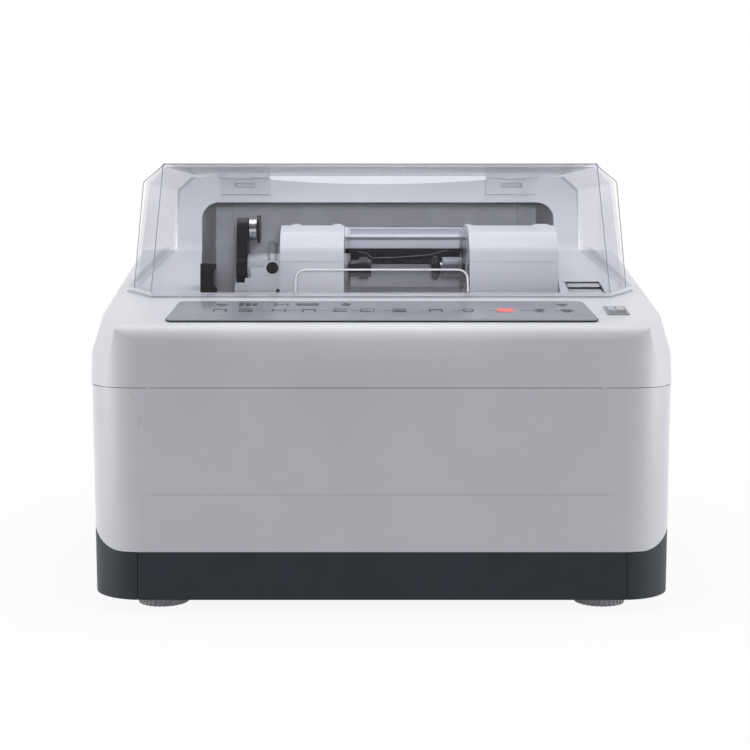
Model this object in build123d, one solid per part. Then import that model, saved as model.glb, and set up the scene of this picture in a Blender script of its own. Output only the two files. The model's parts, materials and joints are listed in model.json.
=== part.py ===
from build123d import *
import os
from math import cos, hypot, pi, radians, sin, tan

# Optical lens edger: a bench machine that grinds spectacle lenses to shape.
# Millimetres. +Z up, front towards -Y, +X to the operator's right. The origin is
# on the bench, under the middle of the case. Depths ("_d") are counted from the
# case's front face towards the back.

# ---- case ----
case_width = 520.0
case_depth = 460.0
foot_height = 12.0
foot_radius = 22.5
foot_stud_radius = 5.0
foot_x = 195.0
front_foot_d = 44.0
rear_foot_d = case_depth - 50.0
case_top_z = 398.0
bottom_half_width = case_width / 2 - 5.0
seam_half_width = case_width / 2 - 0.7
corner_radius = 48.0
rear_corner_radius = 12.0
wall = 3.0
panel_gap = 0.5
seam_z = 195.3
skirt_top_z = 53.4
skirt_half_width = 212.0
front_cover_wrap_d = 45.0
front_cover_corner = 35.0
rear_panel_half_width = case_width / 2 - 24.0
rear_panel_thickness = 2.0
pan_rim_z = 38.0
pan_rim = 2.0
pan_floor = 2.5
grip_pocket_z = 64.0
grip_pocket_half_height = 14.0
grip_pocket_d = (170.0, 240.0)
grip_pocket_depth = 15.0

# ---- upper housing ----
deck_angle = 15.0
deck_front_z = 248.0
brow_radius = 17.0
shoulder_half_width = case_width / 2 - 10.5
shoulder_drop = 5.0
facet_drop = 36.0
corner_facet_inset = 28.4
corner_facet_drop = 12.6
corner_facet_back_d = 35.0
hood_front_d = 257.0
hood_back_d = 452.0
hood_half_width = 212.0
hood_shoulder_z = 380.0
hood_crown_half_width = 197.0
hood_crown_edge_z = 394.0
hood_root_radius = 14.0
bevel_half_width = 179.0
bevel_height = 13.0
bevel_angle = 50.0

# ---- mouth of the wet chamber, and the tub under it ----
mouth_front_d = 97.0
mouth_front_half_width = 169.0
mouth_rear_half_width = 186.0
mouth_top_z = 367.0
mouth_corner = 18.0
tub_wall = 2.5
tub_back_d = 403.0
tub_top_z = 388.0
tub_clearance = 0.3
tub_rib_x = (-167.0, -62.0, 62.0, 167.0)
tub_ledge_z = 328.0
drain_x = 110.0
drain_d = 320.0
drain_out_x = 168.0
drain_out_z = 52.0
drain_pipe_radius = 11.8
drain_bore_radius = 9.5

# ---- clear outer lid ----
lid_wall = 3.0
lid_gap = 0.5
lid_foot_d = 92.0
lid_foot_half_width = 215.0
lid_brow_d = 110.0
lid_brow_half_width = 206.0
lid_side_half_width = 234.0
lid_side_d = 112.0
lid_shoulder_z = 380.0
lid_shoulder_half_width = 225.0
lid_top_z = 397.5
lid_top_half_width = 204.5
lid_rear_narrowing = 14.0
lid_rear_d = 250.0
flange_front_d = 85.0
flange_front_half_width = 212.5
flange_side_half_width = 239.0
flange_side_d = 107.0
flange_thickness = 4.0
grip_left_x = -80.0
grip_right_x = 82.0
grip_top_z = 298.0
grip_corner = 9.0
grip_rim = 2.0
hinge_x = 139.0
hinge_width = 52.0
hinge_axis_d = 249.0
hinge_axis_z = 391.0
hinge_knuckle_radius = 3.2
hinge_pin_radius = 1.5
hinge_leaf_height = 16.0
running_clearance = 0.05

# ---- controls on the deck ----
panel_front_d = 13.5
panel_length = 58.0
panel_front_half_width = 190.0
panel_back_half_width = 185.0
panel_thickness = 2.0
switch_x = 211.0
switch_d = 45.0
switch_width = 20.0
switch_length = 24.0
switch_rim = 2.6
switch_throw = 16.0
tray_left_x = 178.0
tray_right_x = 213.0
tray_front_d = 98.0
tray_back_d = 140.0
tray_depth = 16.0

# ---- grinding spindle and its drive ----
spindle_d = 165.0
spindle_z = 208.0
spindle_radius = 10.0
wheel_radius = 50.0
wheel_left_x = -33.0
bevel_wheel_width = 17.0
rough_wheel_width = 24.0
wheel_joint = 0.5
tub_floor_z = spindle_z - wheel_radius - 10.0
housing_radius = 25.0
side_plate_x = 188.5
side_plate_thickness = 3.0
side_plate_back_d = case_depth - 30.0
nozzle_z = 200.0
motor_z = 75.0
motor_radius = 45.0
motor_length = 150.0
motor_shaft_radius = 7.0
motor_pulley_radius = 33.0
spindle_pulley_radius = 22.0
belt_width = 12.0
belt_thickness = 2.2
belt_gap = 0.3

# ---- lens head ----
lens_d = 165.0
lens_z = 298.0
pivot_d = 350.0
pivot_z = 245.0
left_arm_x = (-96.0, -34.6)
right_arm_x = (86.0, 171.0)
arm_front_d = 125.0
arm_back_d = 235.0
arm_bottom_z = 262.0
arm_top_z = 340.0
arm_seam_z = 304.0
arm_wall = 2.5
beam_back_d = 268.0
beam_lip_z = 318.0
beam_low_z = 278.0
cap_bumps_x = ((-87.0, -78.0), (-46.0, -37.0), (86.0, 92.0), (154.0, 169.0))
boss_radius = 14.7
lug_spans = ((-88.0, -62.0), (130.0, 161.0))
lug_root_z = (282.0, 318.0)
lug_radius = 20.0
lens_shaft_radius = 8.0
left_chuck_x = -8.0
right_chuck_x = 52.0
chuck_radius = 11.0
clamp_sleeve_radius = 11.0
right_shaft_radius = 6.0
guide_radius = 8.0
sleeve_radius = 14.0
rail_radius = 5.0
rail_d = 382.0
visor_radius = 41.0
visor_wall = 2.5
visor_left_x = -31.0
visor_right_x = 83.0
visor_low_angle = 171.6
visor_high_angle = 62.0
template_z = 336.5
template_shaft_radius = 4.0
template_disc_radius = 10.5
template_disc_width = 8.5
template_flange_radius = 13.5
belt_case_x = (-140.0, -129.0)
valve_knob_x = -103.0
valve_knob_z = 298.5
valve_tube_x = (-107.4, -100.4)
valve_tube_d = 139.6
valve_tube_radius = 2.0
stop_front_d = 108.0
stop_back_d = 125.0
stop_right_x = -156.8


def y_at(d):
    return d - case_depth / 2


def deck_z(d):
    return deck_front_z + d * tan(radians(deck_angle))


def point(x, d, z):
    return Vector(x, y_at(d), z)


def block(x0, x1, d0, d1, z0, z1):
    middle = Pos((x0 + x1) / 2, y_at((d0 + d1) / 2), (z0 + z1) / 2)
    return middle * Box(x1 - x0, d1 - d0, z1 - z0)


def rod_x(radius, x0, x1, d, z):
    """Round bar along X."""
    return Pos((x0 + x1) / 2, y_at(d), z) * Rot(0, 90, 0) * Cylinder(radius, x1 - x0)


def rod_y(radius, x, d0, d1, z):
    """Round bar along the depth."""
    return Pos(x, y_at((d0 + d1) / 2), z) * Rot(90, 0, 0) * Cylinder(radius, d1 - d0)


def rod_z(radius, x, d, z0, z1):
    """Upright round bar."""
    return Pos(x, y_at(d), (z0 + z1) / 2) * Cylinder(radius, z1 - z0)


def rounded(sketch, radius, spots):
    """Fillet the corners of a flat sketch that lie at the given (u, v) spots."""
    corners = [v for v in sketch.vertices() if any(hypot(v.X - u, v.Y - w) < 0.01 for u, w in spots)]
    return fillet(corners, radius)


def side_prism(outline, x0, x1, radii=()):
    """Extrude a (depth, height) outline along X. radii: (radius, [corners]) pairs."""
    sketch = Polygon(*[(y_at(d), z) for d, z in outline], align=None)
    for radius, spots in radii:
        sketch = rounded(sketch, radius, [(y_at(d), z) for d, z in spots])
    return extrude(Plane.YZ.offset(x0) * sketch, x1 - x0, dir=(1, 0, 0))


def front_prism(outline, d0, d1, radii=()):
    """Extrude an (x, height) outline along the depth."""
    sketch = Polygon(*outline, align=None)
    for radius, spots in radii:
        sketch = rounded(sketch, radius, spots)
    return extrude(Pos(0, y_at(d0), 0) * (Plane.XZ * sketch), d1 - d0, dir=(0, 1, 0))


def plan_prism(outline, z0, z1, radii=()):
    """Extrude an (x, depth) outline upwards."""
    sketch = Polygon(*[(x, y_at(d)) for x, d in outline], align=None)
    for radius, spots in radii:
        sketch = rounded(sketch, radius, [(x, y_at(d)) for x, d in spots])
    return extrude(Pos(0, 0, z0) * sketch, z1 - z0, dir=(0, 0, 1))


def mirrored(outline):
    """Complete a half outline, given on the +X side, with its mirror image."""
    return list(outline) + [(-x, v) for x, v in reversed(outline)]


def trim(shape, a, b, c, inset=0.0):
    """Cut a flat facet through three points; the side away from the case's middle goes."""
    normal = (b - a).cross(c - a).normalized()
    if (point(0, case_depth / 2, seam_z) - a).dot(normal) > 0:
        normal = normal * -1
    reach = 2 * (case_width + case_depth)
    waste = Plane(origin=a - normal * inset, z_dir=normal) * Pos(0, 0, reach / 2) * Box(reach, reach, reach)
    return shape - waste


def deck_plane(x, d, lift=0.0):
    """Plane on the sloping deck: x to the right, y up the slope, z square to the deck."""
    tilt = radians(deck_angle)
    base = point(x, d, deck_z(d))
    normal = Vector(0, -sin(tilt), cos(tilt))
    return Plane(origin=base + normal * lift, x_dir=(1, 0, 0), z_dir=normal)


def common(first, second):
    """Volume that two forms share, as one part."""
    return Part() + (first & second).solids()


def save(shape, node):
    export_step(shape, f"parts/{node}.step")


# ---------------------------------------------------------------- lower case


def half_width_at(z):
    share = (z - foot_height) / (seam_z - foot_height)
    return bottom_half_width + share * (seam_half_width - bottom_half_width)


def case_outline(half_width, front_d, back_d, front_radius, back_radius):
    """Plan of the case: a rectangle with large front corners and small rear ones."""
    middle = (front_d + back_d) / 2
    outline = Pos(0, y_at(middle)) * Rectangle(2 * half_width, back_d - front_d)
    front = outline.vertices().filter_by(lambda v: v.Y < y_at(middle))
    outline = fillet(front, front_radius)
    back = [v for v in outline.vertices() if v.Y > y_at(back_d) - 0.01]
    return fillet(back, back_radius)


def lower_form(inset, z0, z1):
    """Drafted form of the lower case between two heights, drawn in by inset."""
    ends = []
    for z in (z0, z1):
        plan = case_outline(
            half_width_at(z) - inset,
            inset,
            case_depth - 2 - inset,
            corner_radius - inset,
            rear_corner_radius - inset,
        )
        ends.append(Pos(0, 0, z) * plan)
    return loft(ends, ruled=True)


def front_cover_window(gap):
    """What belongs to the white front cover, grown by a gap, seen from the front."""
    reach = case_width / 2 + 5
    low, high = skirt_top_z - gap, seam_z + 10
    half = seam_half_width + 1
    outline = [(reach, high), (-reach, high), (-reach, low + 120), (-half, low + 120)]
    outline += [(-half, low), (half, low), (half, low + 120), (reach, low + 120)]
    corner = front_cover_corner + gap
    return front_prism(
        outline, -5, front_cover_wrap_d + gap, [(corner, [(-half, low), (half, low)])]
    )


def lower_skin(z0, z1):
    return lower_form(0, z0, z1) - lower_form(wall, z0 - 1, z1 + 1)


def make_front_cover():
    skin = lower_skin(skirt_top_z - 1, seam_z - panel_gap / 2)
    cover = common(skin, front_cover_window(0))
    # Two hook rails inside carry the cover on the base frame.
    for z in (70.0, 180.0):
        cover += block(-200, 200, wall, wall + 4, z - 2, z + 2)
    crease = block(-200, 200, -1, 0.5, 102.6, 103.4)
    return cover - crease


def make_skirt():
    panel = lower_skin(foot_height, skirt_top_z - panel_gap)
    window = block(-skirt_half_width + panel_gap, skirt_half_width - panel_gap, -5, 20, 0, 100)
    panel = common(panel, window)
    for x in (-150.0, 0.0, 150.0):
        panel += block(x - 8, x + 8, wall, wall + 5, pan_rim_z + 0.3, skirt_top_z - 3)
    return panel


def make_side_cover(side):
    """Dark side cover: wraps the front and rear corners, with vents and a hand grip."""
    cover = lower_skin(foot_height, seam_z - panel_gap / 2) - front_cover_window(panel_gap)
    cover -= block(-skirt_half_width, skirt_half_width, -5, 100, 0, 300)
    cover -= block(-rear_panel_half_width, rear_panel_half_width, 100, case_depth + 5, 0, 300)
    keep = block(min(0, side * 400), max(0, side * 400), -5, case_depth + 5, 0, 300)
    cover = common(cover, keep)
    outer = side * (case_width / 2 + 10)
    inner = side * (half_width_at(foot_height) - 12)
    low_x, high_x = min(outer, inner), max(outer, inner)
    vents = []
    for row in range(9):
        z = 88.0 + row * 9.0
        vents.append(block(low_x, high_x, 300, 400, z, z + 4))
    cover -= vents
    # Hand grip: a pocket with rounded ends, low in the middle of the cover.
    face_x = half_width_at(grip_pocket_z)
    walls = grip_pocket(grip_pocket_half_height + wall, face_x - grip_pocket_depth - wall, face_x - 1)
    hollow = grip_pocket(grip_pocket_half_height, face_x - grip_pocket_depth, face_x + 10)
    if side < 0:
        walls, hollow = walls.mirror(Plane.YZ), hollow.mirror(Plane.YZ)
    return cover + walls - hollow


def grip_pocket(half_height, x0, x1):
    """Bar with rounded ends along X, the form of the hand grip."""
    pocket = rod_x(half_height, x0, x1, grip_pocket_d[0], grip_pocket_z)
    pocket += rod_x(half_height, x0, x1, grip_pocket_d[1], grip_pocket_z)
    low, high = grip_pocket_z - half_height, grip_pocket_z + half_height
    return pocket + block(x0, x1, grip_pocket_d[0], grip_pocket_d[1], low, high)


def make_rear_panel():
    """Sheet steel back with louvres, connector holes and a row of vent slots."""
    t = rear_panel_thickness
    back = case_depth - 2
    panel = block(
        -rear_panel_half_width + panel_gap,
        rear_panel_half_width - panel_gap,
        back - t,
        back,
        foot_height + 2,
        seam_z - 3,
    )
    slots = []
    for row in range(10):
        z = 84.0 + row * 9.0
        slots.append(block(-150, -40, back - 5, back + 5, z, z + 4))
    slots.append(block(-208, -180, back - 5, back + 5, 38, 58))
    slots.append(rod_y(9.0, 120, back - 5, back + 5, 100))
    slots.append(rod_y(drain_pipe_radius + 1.2, drain_out_x, back - 5, back + 5, drain_out_z))
    panel -= slots
    hem = block(-230, 230, back - 14, back - t, seam_z - 5, seam_z - 3)
    return panel + hem


def make_base_pan():
    """Folded base tray with a turned-up rim and pads over the feet."""
    pan_inset = wall + panel_gap
    tray = lower_form(pan_inset, foot_height, pan_rim_z)
    tray -= lower_form(pan_inset + pan_rim, foot_height + pan_floor, pan_rim_z + 1)
    for x, d in foot_places():
        tray += rod_z(16, x, d, foot_height, foot_height + 9)
        tray -= rod_z(foot_stud_radius + running_clearance, x, d, foot_height - 1, foot_height + 12)
    drain_slots = []
    for column in range(7):
        x = -60.0 + column * 20
        drain_slots.append(block(x - 4, x + 4, 300, 360, foot_height - 1, foot_height + 4))
    return tray - drain_slots


def foot_places():
    return [(x, d) for x in (-foot_x, foot_x) for d in (front_foot_d, rear_foot_d)]


def make_foot(x, d):
    """Levelling foot: a ribbed moulded disc on a threaded stud."""
    rim, groove, stud = foot_radius, foot_radius - 1.2, foot_stud_radius
    profile = [(0, 0), (rim - 2, 0), (rim, 2.0)]
    z = 2.0
    for _ in range(3):
        profile += [(rim, z + 1.4), (groove, z + 1.8), (groove, z + 2.4), (rim, z + 2.8)]
        z += 2.8
    profile += [(rim, foot_height - 1), (rim - 1, foot_height), (stud, foot_height)]
    profile += [(stud, foot_height + 8), (0, foot_height + 8)]
    foot = revolve(Plane.XZ * Polygon(*profile, align=None), Axis.Z)
    return Pos(x, y_at(d), 0) * foot


# ------------------------------------------------------------- upper housing


def housing_block(inset, low):
    """Plan of the case drawn up, cut off along the deck and the flat rear shoulder."""
    back, half = case_depth - inset, case_width / 2 - inset
    plan = case_outline(half, inset, back, corner_radius - inset, rear_corner_radius - inset)
    form = extrude(Pos(0, 0, low) * plan, case_top_z, dir=(0, 0, 1))
    start = (inset - 10, deck_z(inset - 10) - inset / cos(radians(deck_angle)))
    knee = (hood_front_d + inset * tan(radians(deck_angle / 2)), deck_z(hood_front_d) - inset)
    high = low + case_top_z + 10
    sky = [start, knee, (back + 10, knee[1]), (back + 10, high), (inset - 10, high)]
    return form - side_prism(sky, -half - 5, half + 5)


def brow_waste(inset):
    """What the rounding takes off the edge between the front face and the deck."""
    tilt, reach_x = radians(deck_angle), case_width / 2 + 10
    radius = brow_radius - inset
    reach = radius / tan((pi / 2 + tilt) / 2)
    edge_z = deck_z(inset) - inset / cos(tilt)
    middle = (inset + radius, edge_z - reach)
    last = (inset + reach * cos(tilt), edge_z + reach * sin(tilt))
    over = (last[0] - 10 * sin(tilt), last[1] + 10 * cos(tilt))
    corner = [(inset - 10, middle[1]), middle, last, over, (inset - 10, over[1])]
    return side_prism(corner, -reach_x, reach_x) - rod_x(radius, -reach_x - 5, reach_x + 5, *middle)


def rear_waste(inset):
    """What the rounding takes off the edge between the rear shoulder and the back."""
    radius, reach_x = rear_corner_radius - inset, case_width / 2 + 10
    back, top = case_depth - inset, deck_z(hood_front_d) - inset
    corner = block(-reach_x, reach_x, back - radius, back + 10, top - radius, top + 10)
    return corner - rod_x(radius, -reach_x - 5, reach_x + 5, back - radius, top - radius)


def body_form(inset):
    """Housing below the hood: brow, sloping deck, flat rear shoulder, side facets."""
    form = housing_block(inset, seam_z + panel_gap / 2 - (30 if inset else 0))
    form -= brow_waste(inset)
    form -= rear_waste(inset)
    break_z = deck_z(hood_front_d)
    for side in (-1, 1):
        upper, lower = side * shoulder_half_width, side * case_width / 2
        for d0, z0, d1, z1 in (
            (0, deck_z(0), hood_front_d, break_z),
            (hood_front_d, break_z, case_depth, break_z),
        ):
            a = point(upper, d0, z0 - shoulder_drop)
            b = point(upper, d1, z1 - shoulder_drop)
            c = point(lower, d0, z0 - facet_drop)
            form = trim(form, a, b, c, inset)
        a = point(side * (case_width / 2 - corner_facet_inset), 0, deck_front_z - corner_facet_drop)
        b = point(side * (shoulder_half_width - 0.8), corner_facet_back_d, deck_z(corner_facet_back_d) - 4.4)
        c = point(side * (case_width / 2 - 3.6), corner_facet_back_d, seam_z + 7.3)
        form = trim(form, a, b, c, inset)
    return form


def bevel_cut(inset):
    """Crescent cut across the top front edge of the hood, rising to the back."""
    low = case_top_z - bevel_height - 2 * inset
    half = bevel_half_width + 6 * inset
    end_z, high = case_top_z - 1, case_top_z + 30
    arc = ThreePointArc((-half, end_z), (0, low), (half, end_z))
    rim = Polyline((half, end_z), (half, high), (-half, high), (-half, end_z))
    crescent = Pos(0, y_at(hood_front_d - 1), 0) * (Plane.XZ * make_face([arc, rim]))
    rise = radians(bevel_angle)
    return extrude(crescent, 60, dir=(0, cos(rise), sin(rise)))


def hood_form(inset):
    """Hood over the rear of the chamber, with a crowned top and a soft root."""
    front, back = hood_front_d + inset, hood_back_d - inset
    root = (front, deck_z(hood_front_d) - inset)
    start = (front - 25, root[1] - 25 * tan(radians(deck_angle)))
    outline = [(start[0], start[1] - 20), start, root, (front, case_top_z + 5)]
    outline += [(back, case_top_z + 5), (back, start[1] - 20)]
    form = side_prism(outline, -260, 260, [(hood_root_radius + inset, [root])])
    half = hood_half_width - inset
    crown_half = hood_crown_half_width - inset / 2
    crown_z = hood_crown_edge_z - inset
    left = (-crown_half, crown_z)
    right = (crown_half, crown_z)
    crown = ThreePointArc(left, (0, case_top_z - inset), right)
    corners = mirrored([(half, hood_shoulder_z), (half, 250)])
    sides = Polyline(right, *corners, left)
    face = Pos(0, y_at(200), 0) * (Plane.XZ * make_face([crown, sides]))
    form = common(form, extrude(face, 300, dir=(0, 1, 0)))
    return form - bevel_cut(inset)


def mouth_prism(d1, grow=0.0, low=100.0):
    """Mouth of the chamber: narrow at the front, wide at the hood, rounded above."""
    front, rear = mouth_front_half_width + grow, mouth_rear_half_width + grow
    first = mouth_front_d - grow
    outline = mirrored([(front, first), (rear, hood_front_d), (rear, d1)])
    return plan_prism(outline, low, case_top_z + 40, [(10 + grow, [(front, first), (-front, first)])])


def make_upper_housing():
    shell = body_form(0) + hood_form(0) - body_form(wall) - hood_form(wall)
    high = mouth_top_z
    rear = mouth_rear_half_width
    arch = front_prism(
        [(rear, 100), (rear, high), (-rear, high), (-rear, 100)],
        mouth_front_d - 5,
        hood_front_d + wall + 4,
        [(mouth_corner, [(rear, high), (-rear, high)])],
    )
    shell -= common(mouth_prism(hood_front_d + wall + 4), arch)
    shell -= switch_hole()
    shell -= tray_hole()
    slots = []
    for column in range(12):
        x = -110.0 + column * 20
        slots.append(block(x - 5, x + 5, hood_back_d - 10, hood_back_d + 5, 340, 370))
    shell -= slots
    return shell


def tub_outline_top(d):
    drop = (wall + tub_clearance) / cos(radians(deck_angle))
    return deck_z(d) - drop


def make_wet_tub():
    """Grey moulded chamber below the mouth: sloped floor, ribbed back, drain boss."""
    front = mouth_front_d - tub_wall
    step_d = hood_front_d + wall + tub_clearance
    under_z = deck_z(hood_front_d) - wall - tub_clearance
    outline = [
        (front, tub_floor_z + 40),
        (front, tub_outline_top(front)),
        (hood_front_d, under_z),
        (step_d, under_z),
        (step_d, tub_top_z),
        (tub_back_d, tub_top_z),
        (tub_back_d, tub_floor_z),
        (front + 45, tub_floor_z),
    ]
    outer = side_prism(outline, -200, 200, [(8, [(tub_back_d, tub_floor_z)])])
    outer = common(outer, mouth_prism(tub_back_d, tub_wall, 90))
    well = [
        (mouth_front_d, tub_floor_z + 40 + 1),
        (mouth_front_d, case_top_z + 20),
        (tub_back_d - tub_wall, case_top_z + 20),
        (tub_back_d - tub_wall, tub_floor_z + tub_wall),
        (front + 46, tub_floor_z + tub_wall),
    ]
    inner = side_prism(well, -200, 200, [(6, [(tub_back_d - tub_wall, tub_floor_z + tub_wall)])])
    inner = common(inner, mouth_prism(tub_back_d - tub_wall, 0, 90))
    tub = outer - inner
    back = tub_back_d - tub_wall
    for x in tub_rib_x:
        tub += block(x - 2.5, x + 2.5, back - 5, back, tub_floor_z + 20, tub_top_z)
    tub += block(-mouth_rear_half_width, mouth_rear_half_width, back - 9, back, tub_ledge_z - 4, tub_ledge_z)
    tub -= rod_x(housing_radius + tub_clearance, -200, -100, spindle_d, spindle_z)
    tub += rod_z(18, drain_x, drain_d, tub_floor_z - 6, tub_floor_z)
    tub -= rod_z(12, drain_x, drain_d, tub_floor_z - 10, tub_floor_z + 10)
    return tub


def make_drain():
    """Drain elbow: down from the tub's boss, then back out through the rear panel."""
    path = FilletPolyline(
        point(drain_x, drain_d, tub_floor_z - 6),
        point(drain_x, drain_d, drain_out_z),
        point(drain_out_x, drain_d + 50, drain_out_z),
        point(drain_out_x, case_depth, drain_out_z),
        radius=[26, 22],
    )
    start = Plane(origin=path @ 0, z_dir=path % 0)
    pipe = sweep(start * Circle(drain_pipe_radius), path=path)
    pipe -= sweep(start * Circle(drain_bore_radius), path=path)
    collar = rod_z(18, drain_x, drain_d, tub_floor_z - 12, tub_floor_z - 6)
    collar -= rod_z(drain_pipe_radius, drain_x, drain_d, tub_floor_z - 13, tub_floor_z)
    return pipe + collar


# ------------------------------------------------------------------ deck trim


def make_control_panel():
    """Membrane control plate lying on the deck, with rounded corners."""
    near, far = panel_front_half_width, panel_back_half_width
    outline = [(near, 0), (far, panel_length), (-far, panel_length), (-near, 0)]
    sketch = Polygon(*outline, align=None)
    sketch = rounded(sketch, 6, [(near, 0), (-near, 0)])
    sketch = rounded(sketch, 14, [(far, panel_length), (-far, panel_length)])
    plate = extrude(sketch, panel_thickness)
    rim = plate.faces().sort_by(Axis.Z)[-1].edges()
    plate = chamfer(rim, 0.6)
    # Row of shallow key dishes pressed into the membrane.
    keys = []
    for column in range(12):
        x = -110.0 + column * 30.5
        keys.append(Pos(x, panel_length * 0.4, panel_thickness) * Box(18, 11, 0.5))
    plate -= keys
    return deck_plane(0, panel_front_d) * plate


def make_control_board():
    """Circuit board under the panel, hung from the deck by four spacers."""
    board = Pos(0, panel_length / 2, -14.0) * Box(320, 46, 1.6)
    for x in (-150.0, 150.0):
        for y in (12.0, 46.0):
            board += Pos(x, y, -(wall + 0.1 + 13.4) / 2) * Cylinder(3, 13.4 - wall - 0.1)
    for index in range(6):
        board += Pos(-100.0 + 40 * index, 30, -16.0) * Box(16, 12, 2.6)
    board += Pos(110, 30, -18.5) * Box(46, 8, 7.5)
    return deck_plane(0, panel_front_d) * board


def switch_hole():
    return deck_plane(switch_x, switch_d) * Box(switch_width - 2 * 1.2, switch_length - 2 * 1.2, 24)


def make_switch_frame():
    """Bezel and body of the mains rocker, pushed into the deck."""
    bezel = Pos(0, 0, 0.6) * Box(switch_width, switch_length, 1.2)
    bezel = chamfer(bezel.faces().sort_by(Axis.Z)[-1].edges(), 0.4)
    neck = 2 * 1.2 + 0.3
    body = Pos(0, 0, -9) * Box(switch_width - neck, switch_length - neck, 18)
    frame = bezel + body
    frame -= Pos(0, 0, 0) * Box(switch_width - 2 * switch_rim, switch_length - 2 * switch_rim, 14)
    frame -= Rot(0, 90, 0) * Cylinder(1.2 + running_clearance, switch_width - 2.2)
    for x in (-4.0, 4.0):
        frame += Pos(x, 0, -21) * Box(0.8, 6.3, 6)
    return deck_plane(switch_x, switch_d) * frame


def make_rocker():
    """Rocker paddle, shown pressed down at its rear end."""
    long = switch_length / 2 - switch_rim - 0.7
    wide = switch_width - 2 * switch_rim - 0.6
    outline = [(-long, -1.6), (-long, 2.9), (0, 1.6), (long, 2.9), (long, -1.6), (0, -3.2)]
    paddle = extrude(Plane.YZ.offset(-wide / 2) * Polygon(*outline, align=None), wide, dir=(1, 0, 0))
    paddle += Rot(0, 90, 0) * Cylinder(1.2, switch_width - 2.6)
    paddle = Rot(-switch_throw / 2, 0, 0) * paddle
    return deck_plane(switch_x, switch_d) * paddle


def tray_hole():
    middle_d = (tray_front_d + tray_back_d) / 2
    size = (tray_right_x - tray_left_x, tray_back_d - tray_front_d)
    return deck_plane((tray_left_x + tray_right_x) / 2, middle_d) * Box(size[0], size[1], 12)


def make_tray():
    """Sheet-metal tray in the deck beside the mouth, with stepped cross rails."""
    middle_d = (tray_front_d + tray_back_d) / 2
    wide = tray_right_x - tray_left_x - 2 * 0.3
    long = tray_back_d - tray_front_d - 2 * 0.3
    tray = Pos(0, 0, -tray_depth / 2) * Box(wide, long, tray_depth)
    tray -= Pos(0, 0, -tray_depth / 2 + 1) * Box(wide - 2, long - 2, tray_depth)
    for index in range(4):
        y = -long / 2 + 6 + index * 9.5
        height = 4.0 + 1.2 * index
        tray += Pos(0, y, -tray_depth + 1 + height / 2) * Box(wide - 2, 2.4, height)
    return deck_plane((tray_left_x + tray_right_x) / 2, middle_d) * tray


# ------------------------------------------------------------------ outer lid


def lid_form(inset):
    """Faceted clear lid as a closed form; the wall is drawn in by inset."""
    over = 30 if inset else 0
    form = block(-240, 240, flange_front_d - 5, lid_rear_d + over, 240, lid_top_z - inset)
    deck_edge = point(0, 0, deck_z(0) + lid_gap - over)
    low = plan_floor(deck_edge.Z)
    form = common(form, low)
    foot_z = deck_z(lid_foot_d)
    a = point(-100, lid_foot_d, foot_z)
    form = trim(form, a, point(100, lid_foot_d, foot_z), point(0, lid_brow_d, lid_top_z), inset)
    for side in (-1, 1):
        rear_half = lid_side_half_width - lid_rear_narrowing
        rear_shoulder_half = lid_shoulder_half_width - lid_rear_narrowing
        side_foot = point(side * lid_side_half_width, lid_side_d, foot_z)
        rear_foot = point(side * rear_half, lid_rear_d, foot_z)
        side_shoulder = point(side * lid_shoulder_half_width, lid_side_d, lid_shoulder_z)
        form = trim(form, side_foot, rear_foot, side_shoulder, inset)
        rear_shoulder = point(side * rear_shoulder_half, lid_rear_d, lid_shoulder_z)
        side_top = point(side * lid_top_half_width, lid_side_d, lid_top_z)
        form = trim(form, side_shoulder, rear_shoulder, side_top, inset)
        front_foot = point(side * lid_foot_half_width, lid_foot_d, foot_z)
        front_brow = point(side * lid_brow_half_width, lid_brow_d, lid_top_z)
        form = trim(form, front_foot, front_brow, side_foot, inset)
    return form


def plan_floor(height):
    """Everything above a plane parallel to the deck that starts at the given height."""
    rise = 400 * tan(radians(deck_angle))
    outline = [(-60, height - 60 * tan(radians(deck_angle))), (400, height + rise), (400, 600), (-60, 600)]
    return side_prism(outline, -300, 300)


def make_lid_shell():
    floor_z = deck_front_z + lid_gap
    shell = lid_form(0)
    flange_plan = [
        (flange_front_half_width, flange_front_d),
        (flange_side_half_width, flange_side_d),
        (flange_side_half_width - lid_rear_narrowing, lid_rear_d),
    ]
    flange = plan_prism(mirrored(flange_plan), 240, 400)
    band = plan_floor(floor_z) - plan_floor(floor_z + flange_thickness)
    shell += common(flange, band)
    grip = front_prism(
        [(grip_left_x, 250), (grip_right_x, 250), (grip_right_x, grip_top_z), (grip_left_x, grip_top_z)],
        flange_front_d + 1,
        lid_foot_d + 8,
        [(grip_corner, [(grip_right_x, grip_top_z), (grip_left_x, grip_top_z)])],
    )
    grip = fillet(grip.faces().sort_by(Axis.Y)[0].edges().sort_by(Axis.Z)[1:], grip_rim)
    shell += common(grip, plan_floor(floor_z))
    hollow = front_prism(
        [
            (grip_left_x + lid_wall, 240),
            (grip_right_x - lid_wall, 240),
            (grip_right_x - lid_wall, grip_top_z - lid_wall),
            (grip_left_x + lid_wall, grip_top_z - lid_wall),
        ],
        flange_front_d + 1 + lid_wall,
        lid_foot_d + 20,
    )
    shell -= hollow
    shell -= lid_form(lid_wall)
    return shell


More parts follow.
